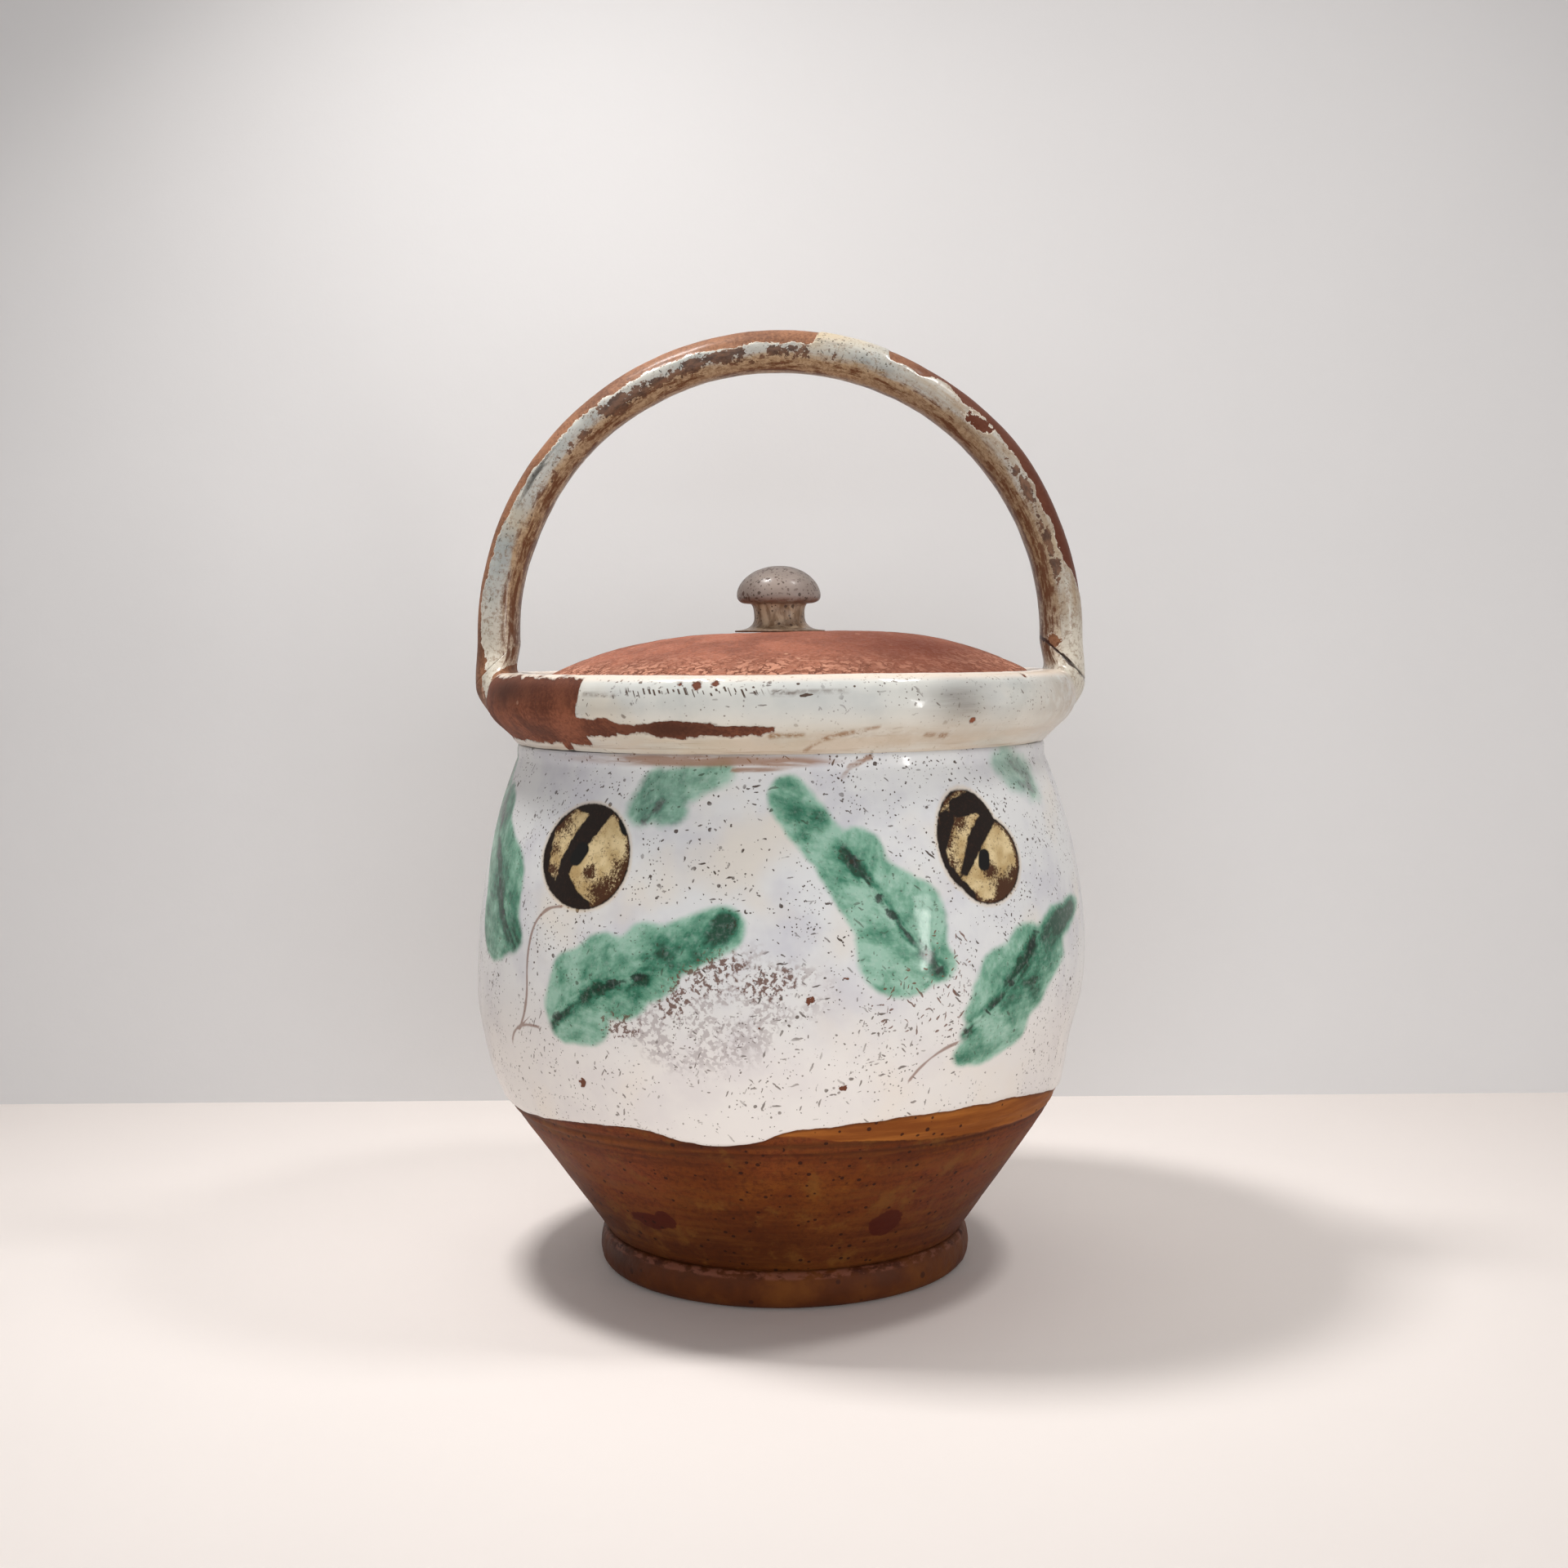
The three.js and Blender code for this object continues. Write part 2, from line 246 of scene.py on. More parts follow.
class Shade:
    # a number, colour or place that changes over the surface; sums written with it become nodes
    def __init__(self, socket):
        self.socket = socket
        self.tree = socket.id_data

    def node(self, kind, inputs, output=0, **settings):
        return Shade(addNode(self.tree, kind, inputs, **settings).outputs[output])

    __add__ = maths("ADD")
    __sub__ = maths("SUBTRACT")
    __rsub__ = maths("SUBTRACT", turned=True)
    __mul__ = maths("MULTIPLY")
    __truediv__ = maths("DIVIDE")
    __rtruediv__ = maths("DIVIDE", turned=True)
    __pow__ = maths("POWER")
    __abs__ = maths("ABSOLUTE")
    __lt__ = maths("LESS_THAN")
    __or__ = maths("MAXIMUM")  # the stronger of the two

    def ease(self, low, high, first=0.0, last=1.0):
        inputs = {"Value": self, "From Min": low, "From Max": high, "To Min": first, "To Max": last}
        return self.node("MapRange", inputs, interpolation_type="SMOOTHSTEP")

    def pick(self, first, second):
        # the first colour where this is 0, the second where it is 1
        return self.node("Mix", {0: self, 6: first, 7: second}, 2, data_type="RGBA")

    def tint(self, share, colour):
        return share.pick(self, colour)

    def layers(self, *coats):
        # coats laid over this colour in turn: share, then red, green and blue
        colour = self
        for share, *shade in coats:
            colour = colour.tint(share, tone(*shade))
        return colour

    def ramp(self, *stops):
        node = addNode(self.tree, "ValToRGB", {0: self})
        elements = node.color_ramp.elements
        elements.remove(elements[1])
        for k, (at, colour) in enumerate(stops):
            element = elements.new(at) if k else elements[0]
            element.position = at
            element.color = colour
        return Shade(node.outputs[0])

    def vector(self, operation, *inputs):
        return self.node("VectorMath", dict(enumerate(inputs)), operation=operation)

    def stretch(self, *factors):
        return self.vector("MULTIPLY", self, factors)

    def noise(self, size, detail=2.0, roughness=0.5, output=0):
        inputs = {"Vector": self, "Scale": 1 / (size * mm), "Detail": detail, "Roughness": roughness}
        return self.node("TexNoise", inputs, output)

    def drift(self, size, detail=2.0, roughness=0.5):
        return self.noise(size, detail, roughness) - 0.5

    def wobble(self, size, amount):
        # the place moved about by some millimetres, so that marks bend and cluster
        centred = self.vector("SUBTRACT", self.noise(size, output="Color"), (0.5, 0.5, 0.5))
        return self.vector("MULTIPLY_ADD", centred, (amount * mm,) * 3, self)

    def cells(self, scale):
        # gap to the middle of the nearest cell, and three random numbers of that cell
        flat = self.socket.type == "VALUE"
        inputs = {"W" if flat else "Vector": self, "Scale": scale}
        found = addNode(self.tree, "TexVoronoi", inputs, voronoi_dimensions="1D" if flat else "3D").outputs
        chance = addNode(self.tree, "SeparateColor", {0: Shade(found["Color"])}).outputs
        return Shade(found["Distance"]), [Shade(part) for part in chance]

    def field(self, label, output="Fac"):
        # what the mesh carries at each of its points
        return self.node("Attribute", {}, output, attribute_name=label)

    def relief(self, depth, strength):
        return self.node("Bump", {"Height": self, "Distance": depth * mm, "Strength": strength})

    def through(self, group, **inputs):
        outputs = addNode(self.tree, "Group", {"place": self, **inputs}, node_tree=group).outputs
        return [Shade(socket) for socket in outputs]


def newMaterial(name):
    material = bpy.data.materials.new(name)
    material.use_nodes = True
    return material, Shade(addNode(material.node_tree, "TexCoord", {}).outputs["Object"])


def dress(material, sockets):
    # fired clay shines little where no glaze coats it
    fill(material.node_tree.nodes["Principled BSDF"], {"Specular IOR Level": 0.15} | sockets)
    return material


def newGroup(name, **inputs):
    # None stands for a place, a number for a value and a tuple for a colour
    group = bpy.data.node_groups.new(name, "ShaderNodeTree")
    for label, value in inputs.items():
        kind = {type(None): "Vector", float: "Float", tuple: "Color"}[type(value)]
        socket = group.interface.new_socket(label, in_out="INPUT", socket_type="NodeSocket" + kind)
        if value is not None:
            socket.default_value = value
    start = group.nodes.new("NodeGroupInput").outputs
    return group, [Shade(start[label]) for label in inputs]


def endGroup(group, **outputs):
    for label, value in outputs.items():
        kind = "Color" if value.socket.type == "RGBA" else "Float"
        group.interface.new_socket(label, in_out="OUTPUT", socket_type="NodeSocket" + kind)
    fill(group.nodes.new("NodeGroupOutput"), outputs)
    return group


# Round pits and specks; share is how many of the cells have one
def makeSpecks():
    group, (place, size, share) = newGroup("glazeSpecks", place=None, size=4.0, share=0.4)
    gap, chance = place.cells(1 / mm / size)
    depth = chance[0] * 0.26 + 0.07 - gap
    return endGroup(group, mask=depth.ease(0.0, 0.07) * (chance[1] < share))


def specks(place, size, share):
    return place.through(speckGroup, size=size, share=share)[0]


def hairMarks(place, size, share, length, *turns):
    # specks drawn out along some directions
    marks = None
    for turn in turns:
        inputs = {"Vector": place, "Rotation": turn, "Scale": (1.0, 1.0, length)}
        drawn = specks(place.node("Mapping", inputs, vector_type="TEXTURE"), size, share)
        marks = drawn | marks if marks else drawn
    return marks


# Where glaze has flaked off: distance is in millimetres and negative inside the bare patch
def makeFlakes():
    group, (place, distance, ragged) = newGroup("flakedEdge", place=None, distance=0.0, ragged=1.5)
    shift = place.drift(1.7, 3, 0.7) * 0.75 + place.drift(5, 4, 0.65) * 1.6
    edge = shift * ragged + distance
    return endGroup(group, bare=edge.ease(0.10, -0.10), lip=1.0 - abs(edge).ease(0.05, 0.55))


# Fired red clay without glaze
def makeClay():
    tones = {"light": tone(172, 104, 78), "dark": tone(110, 62, 46)}
    group, (place, pits, light, dark) = newGroup("bareClay", place=None, pits=0.3, **tones)
    grain = place.noise(1.1, 3, 0.7)
    pitted = specks(place, 2.3, pits)
    colour = ((grain - 0.5) * 0.9 + place.noise(16, 4, 0.6)).ease(0.25, 0.75).pick(dark, light)
    colour = colour.tint(pitted * 0.7, dark)
    colour = colour.tint(specks(place, 3.7, 0.1) * 0.5, tone(214, 168, 140))
    return endGroup(group, colour=colour, height=grain - pitted * 0.6)


# Uneven glaze: cool clouds, warm stains, pits and short hair marks
def makeGlaze():
    tones = {"base": tone(213, 213, 212), "cloud": tone(196, 195, 200), "warm": tone(215, 208, 198)}
    tones["speck"] = tone(72, 50, 41)
    group, inputs = newGroup("unevenGlaze", place=None, amount=0.25, **tones)
    place, amount, base, cloud, warm, speck = inputs
    coat = place.noise(24, 4, 0.6).ease(0.42, 0.70).pick(base, cloud)
    coat = coat.tint(place.noise(37, 3).ease(0.52, 0.74), warm)
    loose = place.wobble(3, 1.5)
    share = amount * place.noise(13, 3, 0.6).ease(0.36, 0.66, 0.2, 1.5)
    turns = [(0.3, 0.35, 0.0), (0.2, -0.85, 0.0), (0.3, 1.45, 0.4)]
    marks = specks(loose, 1.15, share) | specks(loose, 2.6, share * 0.26)
    marks = marks | hairMarks(loose, 1.2, share * 0.42, 6.0, *turns)
    marks = marks * place.noise(5).ease(0.35, 0.60, 0.4, 1.0)
    return endGroup(group, colour=coat.tint(marks * 0.85, speck), marks=marks)


speckGroup = makeSpecks()
flakeGroup = makeFlakes()
clayGroup = makeClay()
glazeGroup = makeGlaze()
print("shared finishes made")


# Foot ring

footShape = {"ringWidth": 14.9, "baseRound": 5.4, "shoulderInset": 2.4, "shoulderDrop": 1.5, "columns": 420,
             "spacing": 0.8, "hiddenSpacing": 2.2, "wallSpacing": 2.5, "crustHeight": 11.4, "crustReach": 1.1,
             "crustBulge": 0.55, "crustGrain": (3.2, 41), "waves": [(0.22, 17, 43, 1), (0.10, 2.6, 47, 3)]}


def makeFoot():
    _, high = nodeSpan("foot_ring")
    bulge, top = high[0], high[2]
    inner = bulge - footShape["ringWidth"]
    stand = bulge - footShape["baseRound"]
    shoulder = bulge - footShape["shoulderInset"]
    outline = joinOutlines(
        evenly([(inner, 0), (stand, 0)], footShape["hiddenSpacing"]),
        evenly(np.vstack([
            bend((stand, 0), (bulge, 0), (bulge, top / 2)),
            bend((bulge, top / 2), (bulge, top - footShape["shoulderDrop"]), (shoulder, top)),
        ]), footShape["spacing"]),
        evenly([(shoulder, top), (inner, top)], footShape["hiddenSpacing"]),
        evenly([(inner, top), (inner, 0)], footShape["wallSpacing"])[:-1],
    )
    points, normals, _ = turnedGrid(outline, footShape["columns"], True)
    height = points[..., 2]
    outside = ease(stand - 1, stand + 3, fromAxis(points))
    crust = bump(height, footShape["crustHeight"], footShape["crustReach"]) * outside
    lumps = np.clip(layeredNoise(points, *footShape["crustGrain"]), 0, 1) * footShape["crustBulge"]
    standing = ease(0.05, 2.5, height)  # the base stays flat on the table
    offset = crust * lumps + uneven(points, footShape["waves"]) * standing * outside
    return meshPiece("foot", points + normals * offset[..., None], True, {"crust": crust})


def footMaterial():
    material, place = newMaterial("honeyFoot")
    cloud = place.noise(19, 4, 0.6)
    crust = place.field("crust")
    dark = crust * place.noise(5).ease(0.55, 0.35)
    lumps = place.stretch(0.45, 0.45, 1.0).noise(2.4, 3, 0.7)
    seam = crust.ease(0.1, 0.7) * lumps.ease(0.44, 0.58)
    coat = cloud.ramp((0.28, tone(58, 26, 9)), (0.5, tone(76, 36, 13)), (0.72, tone(98, 54, 20)))
    coat = coat.layers(
        (specks(place, 4.5, 0.35) * 0.75, 44, 18, 11),
        (dark * 0.75, 44, 12, 6),
        (seam * 0.7, 116, 70, 54),
    )
    return dress(material, {
        "Base Color": coat, "Roughness": cloud.ease(0.3, 0.7, 0.52, 0.68), "Specular IOR Level": 0.2,
        "Normal": place.noise(1.6, 4, 0.6).relief(0.25, 0.6),
    })


fitPiece(makeFoot(), "pot", "foot_ring", footMaterial())


# Thrown body with its painted belly

bodyShape = {"wall": 6, "floorThickness": 8, "floorCorner": 9, "coneBase": 61.5, "coneTop": (91.7, 56.3),
             "bellyHeight": 105, "neckRadius": 89.3, "neckBand": 4.2, "columns": 430, "coneSpacing": 1.5,
             "bellySpacing": 1.1, "insideSpacing": 6, "floorSpacing": 9, "underSpacing": 8, "glazeStep": 0.42,
             "glazeLip": 0.22, "leafStep": 0.08, "chipDepth": 0.25, "edgeWaves": [(0.5, 9, 51, 3)],
             "waves": [(0.30, 58, 67, 1), (0.06, 7, 69, 3)]}
# The wheel left the lower belly a little to one side and flatter: millimetres, height and reach
bellyLean = (-1.8, 80, 20)
bellyTuck = (-1.2, 80, 11)
# Height of the white glaze's lower edge round the pot, in degrees and millimetres
glazeEdge = [(-95, 62), (-75, 60.5), (-56, 61.8), (-44, 63.7), (-29, 65.5), (-23, 64.6), (-17, 61.8),
             (-11, 61.2), (-4, 63.2), (1, 66.4), (7, 67.5), (21, 68.7), (36, 69.6), (53, 68.2), (64, 66),
             (90, 63), (118, 66), (140, 62), (158, 60), (176, 65), (205, 67.5), (235, 64)]
honeyBands = [(-2, 86, 9.6), (150, 215, 7)]  # from, to and depth
# Height, depth and reach
throwGrooves = [(60.4, 0.50, 0.8), (57.2, 0.45, 0.7), (55.3, 0.25, 0.6), (24.0, 0.12, 0.9)]

# Painted motifs, in millimetres as seen from the side that they face: across and height
# A dab of the brush is from, to, its radius at both ends and, on leaves, how deep its colour is
leafShapes = {
    "broad": {"rib": ((-70, 95), (-55, 112), (-37, 114)), "dabs": [
        ((-62.5, 102), (-60.5, 112), 7, 7, 0.10), ((-54.5, 116), (-52, 118.5), 6.5, 6.5, 0.24),
        ((-41, 120), (-39, 122), 7, 7, 0.22), ((-29, 123), (-17.5, 128.5), 7, 6, 0.52),
        ((-20, 127), (-15.5, 129.5), 3.4, 3.4, 0.42), ((-62.5, 96.5), (-57, 98), 5, 6.5, 0.08),
        ((-46.5, 106.5), (-45, 107.5), 6, 6, 0.24), ((-38, 112.5), (-36, 115), 5.5, 6, 0.26),
        ((-62, 100.5), (-40, 116), 4, 5, 0.12),
    ]},
    "long": {"rib": ((48, 112), (33, 128.5), (19.5, 151.5)), "dabs": [
        ((2.5, 166.5), (8, 160), 5.5, 5.8, 0.30), ((2.5, 166.5), (13, 153.5), 5.5, 6, 0.20),
        ((22.5, 151.5), (24.5, 150), 5.5, 6, 0.26), ((18, 147.5), (34.5, 130.5), 7, 13, 0.10),
        ((35, 124.5), (35, 120.5), 12.5, 12.5, 0.08), ((44, 117.5), (45.5, 116), 5, 4.5, 0.26),
    ]},
    "lobed": {"rib": ((52.5, 92.5), (72, 108), (78, 123)), "dabs": [
        ((57.5, 100), (65, 112.5), 3.5, 6.5, 0.08), ((68, 111), (74, 119.5), 5.5, 5.5, 0.22),
        ((75, 110), (82, 118.5), 4.5, 5, 0.36), ((82.5, 121), (85.5, 125), 4.5, 4, 0.66),
        ((87.5, 123), (91.5, 127), 3.8, 3, 0.85), ((56.5, 87.5), (59.5, 88), 4, 4.5, 0.30),
        ((62, 90), (68, 93.5), 6.5, 7, 0.14), ((70.5, 100.5), (74, 103), 6.5, 6, 0.32),
        ((78, 106.5), (82, 113), 4, 5, 0.28), ((55, 94), (72, 108), 1.5, 4, 0.16),
    ]},
    "pale": {"rib": ((-45, 157), (-42, 161), (-38.5, 165)), "dabs": [
        ((-44.5, 163), (-40.5, 169), 4.5, 5.5, 0.24), ((-37, 163), (-34.5, 163), 4, 4, 0.12),
        ((-35.5, 169.5), (-19, 174), 5.5, 3, 0.12),
    ]},
    "bud": {"rib": ((87, 163), (84, 169), (80.5, 176)), "dabs": [
        ((78.5, 174.5), (81.5, 170), 4.6, 4.6, 0.1), ((84, 172), (86.5, 164), 4, 1.8, 0.14),
    ]},
}
leafManner = {"facing": 0, "lift": 0, "size": 1.0, "strength": 1.0, "soft": 1.0, "dark": 0.08, "spread": 1.2}
paintedLeaves = [
    {"shape": "broad"}, {"shape": "long"}, {"shape": "lobed", "spread": 0.6},
    {"shape": "long", "facing": -85, "lift": 7.5, "size": 1.1, "dark": 0.40},
    {"shape": "pale", "strength": 0.9, "soft": 1.6, "dark": 0.2},
    {"shape": "bud", "strength": 0.7, "soft": 2.0},
    {"shape": "long", "facing": 86}, {"shape": "broad", "facing": 160},
    {"shape": "long", "facing": 170, "lift": -3}, {"shape": "lobed", "facing": 175, "lift": 1},
]
# Fruit: lobes are centre and half size, blots are centre, reach and strength
fruitShapes = {
    "round": {
        "lobes": [((-61, 148), (14.5, 16))],
        "strokes": [
            ((-57.5, 162), (-62.5, 154.5), 3.2, 3.0), ((-62.5, 154.5), (-67, 146), 3.0, 2.3),
            ((-67, 146), (-67.5, 143), 2.3, 2.0), ((-65, 162.5), (-57, 162.5), 1.2, 2.6),
            ((-70, 160.5), (-74, 156), 0.6, 1.2), ((-74.6, 156), (-74.2, 142), 1.5, 1.3),
            ((-74.2, 142), (-69, 136.5), 1.3, 2.0), ((-67.5, 141), (-65, 135.5), 2.2, 3.6),
            ((-65, 135.5), (-59.5, 133.5), 3.4, 1.8),
        ],
        "seeds": [((-64, 147), (-62.5, 150), 2.1, 2.3), ((-50.5, 159), (-49, 156.5), 1.4, 1.6)],
        "blots": [
            ((-59, 143.5), 2.2, 0.6), ((-55, 137.5), 3.4, 0.55), ((-49, 145.5), 2.6, 0.4),
            ((-51.5, 141.5), 2.8, 0.3), ((-70.5, 156.5), 3.0, 0.4),
            ((-72, 149), 2.2, 0.35), ((-72, 143), 2.2, 0.4),
        ],
    },
    "split": {
        "lobes": [((59, 152), (10.5, 15.5)), ((63.5, 146), (11.2, 13.5))],
        "strokes": [
            ((57, 162), (63, 163.5), 3.0, 3.4), ((63, 163.5), (67, 161.5), 3.4, 3.0),
            ((52.8, 159), (49.2, 150), 2.4, 1.5), ((49.2, 150), (50, 143), 1.5, 1.5),
            ((51, 143), (53.5, 138), 2.0, 2.3), ((67.5, 159.5), (61, 152), 2.7, 2.7),
            ((61, 152), (56, 143), 2.7, 1.3), ((53.5, 139), (56.5, 135.5), 2.2, 2.0),
        ],
        "seeds": [((63, 147.5), (62.5, 144.5), 1.8, 1.9)],
        "blots": [
            ((64, 142.5), 2.4, 0.55), ((68, 136.5), 3.2, 0.7), ((72, 141), 2.0, 0.45),
            ((56.5, 158), 3.6, 0.4), ((52.5, 152.5), 2.6, 0.3), ((53, 146), 2.2, 0.3),
        ],
    },
}
paintedFruit = [("round", 0), ("split", 0), ("round", 165), ("split", 180)]  # shape and facing
# Marks below are in degrees round the pot and millimetres of height
brushStems = [
    [(-41.6, 132.4), (-51.5, 132), (-50.4, 108)], [(-50.4, 108), (-49.8, 98), (-53.0, 91.5)],
    [(-46.4, 93.9), (-54, 95), (-56.3, 86.8)], [(32, 91.5), (26.5, 89), (23.5, 81)],
    [(122, 133), (112, 130), (113, 106)], [(222, 134), (231, 128), (229, 104)],
]
# Patches: centre, and reach in millimetres
bodyPatches = {
    "wear": [((-14, 103), (24, 16)), ((-5, 111), (20, 11)), ((150, 104), (19, 15))],
    "rust": [((-13, 113.5), (8, 4.5)), ((-2.5, 112.5), (9, 5)), ((-17.8, 107), (5, 7)), ((-28, 98), (7, 4)),
             ((-10, 118), (7, 4)), ((150, 109), (12, 6))],
    "smear": [((-20, 177.6), (44, 1.7)), ((1, 177.2), (16, 1.4)), ((150, 177.5), (60, 1.8))],
    "scratch": [((29, 112), (8, 15)), ((21, 105), (9, 9))],
    "clayDab": [((-36.5, 28.6), (12, 3.4)), ((-31, 30), (6, 3.6)), ((26, 29), (8.6, 5.6)),
                ((160, 30), (7, 3.4))],
}
neckScuffs = [((11.9, 172.5), (13.6, 175.6), 0.3), ((13.6, 175.6), (17.9, 178.6), 0.6),
              ((-9, 174.6), (2, 175.4), 0.3)]
glazeChips = [((-36.9, 78.1), 1.5), ((11.3, 79.7), 1.2), ((4.8, 107.6), 1.3), ((10.7, 113.8), 0.8),
              ((-3.5, 99.2), 0.6), ((170, 85), 1.5)]


def aroundPot(degrees, centre):
    # arc in millimetres from an angle, the short way round
    return np.radians((degrees - centre + 180) % 360 - 180) * 100


def dabDistance(along, across, start, end, startRadius, endRadius):
    way = np.subtract(end, start)
    share = ((along - start[0]) * way[0] + (across - start[1]) * way[1]) / (way @ way)
    share = np.clip(share, 0, 1)
    gap = np.hypot(along - start[0] - share * way[0], across - start[1] - share * way[1])
    return gap - (startRadius + share * (endRadius - startRadius))


def seenFrom(facing, degrees):
    # millimetres across as seen from one side; the far side is out of reach
    turn = np.radians(degrees - facing)
    return np.where(np.cos(turn) > 0.1, 100 * np.sin(turn), 400)


def lineFields(line, across, height):
    # length along a drawn line, which runs on straight at both ends, and signed distance from it
    best = [1e6, 0.0, 0.0]
    reach = 0.0
    for k, (start, end) in enumerate(zip(line[:-1], line[1:])):
        way = end - start
        length = np.hypot(*way)
        on = ((across - start[0]) * way[0] + (height - start[1]) * way[1]) / length
        off = ((height - start[1]) * way[0] - (across - start[0]) * way[1]) / length
        low = -900 if k == 0 else 0
        high = 900 if k == len(line) - 2 else length
        gap = np.hypot(off, np.maximum(np.maximum(low - on, on - high), 0))
        best = nearest(best, [(gap, reach + on, off)])
        reach += length
    return best[1], best[2], reach


def leafFields(order, leaf, degrees, height):
    # one brush leaf: overlapping dabs, and where each point lies along and across its rib
    shape = leafShapes[leaf["shape"]]
    across = (seenFrom(leaf["facing"], degrees) - 25) / leaf["size"] + 25
    rise = (height - leaf["lift"] - 140) / leaf["size"] + 140
    distance = np.full(degrees.shape, 99.0)
    depth = np.full(degrees.shape, leaf["dark"])
    for *dab, shade in shape["dabs"]:
        gap = dabDistance(across, rise, *dab) - leaf["spread"]
        depth = depth + ease(0.8, -3.5, gap) * shade
        near = np.clip(0.5 + 0.5 * (distance - gap) / 1.8, 0, 1)
        distance = distance * (1 - near) + gap * near - 1.8 * near * (1 - near)
    along, side, length = lineFields(bend(*shape["rib"], count=12), across, rise)
    rib = ease(-1, 2, along) * ease(length + 3, length - 3, along) * leaf["strength"]
    return distance / leaf["soft"], depth, rib, along + 100 * order, side, leaf["strength"]


def fruitFields(name, facing, degrees, height):
    # one round fruit: its outline, the dark strokes and seeds on it, and how dense the stipple is
    shape = fruitShapes[name]
    across = seenFrom(facing, degrees)
    distance = np.full(height.shape, 99.0)
    for middle, half in shape["lobes"]:
        ring = np.hypot((across - middle[0]) / half[0], (height - middle[1]) / half[1])
        distance = np.minimum(distance, (ring - 1) * min(half))
    stroke, seed = (
        np.min([dabDistance(across, height, *dab) for dab in shape[kind]], axis=0, initial=99.0)
        for kind in ("strokes", "seeds")
    )
    stroke = np.minimum(stroke, -distance - 0.4)
    shade = 0.08 + 0.34 * ease(-2.2, -0.2, distance) + 0.12 * ease(1.2, 0.0, stroke)
    for middle, reach, strength in shape["blots"]:
        shade = shade + strength * bump(np.hypot(across - middle[0], height - middle[1]), 0, reach)
    return distance, stroke, seed, shade


def stemFields(stem, degrees, height):
    # distance, signed offset and a mask that ends with the stem
    line = bend(*stem, count=14)
    line[:, 0] = aroundPot(line[:, 0], stem[0][0])
    along, side, length = lineFields(line, aroundPot(degrees, stem[0][0]), height)
    beyond = np.maximum(np.maximum(-along, along - length), 0)
    gap = np.hypot(side, beyond)
    return gap, np.copysign(gap, side), (beyond < 0.6) & (gap < 2.2)


def patchShare(patches, degrees, height):
    # 1 in the middle of the strongest patch, fading to 0
    share = np.zeros(degrees.shape)
    for centre, reach in patches:
        arc = aroundPot(degrees, centre[0]) / reach[0]
        share = np.maximum(share, np.exp(-(arc ** 2 + ((height - centre[1]) / reach[1]) ** 2)))
    return share


def strokeShare(strokes, degrees, height):
    # 1 along the middle of drawn strokes that end in a point
    share = np.zeros(degrees.shape)
    for start, end, half in strokes:
        way = (aroundPot(end[0], start[0]), end[1] - start[1])
        gap = dabDistance(aroundPot(degrees, start[0]), height - start[1], (0, 0), way, half, half * 0.3)
        share = np.maximum(share, ease(0.9, -0.4, gap))
    return share


def chipGap(chips, degrees, height):
    gaps = [np.hypot(aroundPot(degrees, at[0]), height - at[1]) - size for at, size in chips]
    return np.min(gaps, axis=0)


def bodyOutline():
    low, high = nodeSpan("pot_body")
    bottom, neckHeight, belly = low[2], high[2], high[0]
    base = (bodyShape["coneBase"], bottom)
    coneTop = bodyShape["coneTop"]
    slope = (coneTop[0] - base[0]) / (coneTop[1] - base[1])
    turnHeight = coneTop[1] + (belly - coneTop[0]) / slope
    widest = (belly, bodyShape["bellyHeight"])
    shoulder = (bodyShape["neckRadius"], neckHeight - bodyShape["neckBand"])
    neck = (bodyShape["neckRadius"], neckHeight)
    cone = evenly([base, coneTop], bodyShape["coneSpacing"])
    lower = bend(coneTop, (belly, turnHeight), widest)
    upper = bend(widest, (belly, (widest[1] + shoulder[1]) / 2), shoulder)
    swell = evenly(joinOutlines(lower, upper, np.array([shoulder, neck])), bodyShape["bellySpacing"])
    wall = joinOutlines(cone, swell)
    inner = wall - outlineNormals(wall, False) * bodyShape["wall"]
    floor = bottom + bodyShape["floorThickness"]
    inner = inner[inner[:, 1] > floor + bodyShape["floorCorner"]][::-1]
    inner[0] = (neck[0] - bodyShape["wall"], neckHeight)
    foot = inner[-1][0]
    corner = bend(inner[-1], (foot - 6, floor), (foot - bodyShape["floorCorner"] - 4, floor))
    inside = evenly(joinOutlines(inner, corner), bodyShape["insideSpacing"])
    under = evenly([(0, bottom), base], bodyShape["underSpacing"])
    rim = evenly([neck, inside[0]], 2)
    ground = evenly([inside[-1], (0, floor)], bodyShape["floorSpacing"])
    return joinOutlines(under, wall, rim, inside, ground), len(under) - 1, len(under) + len(wall) - 2


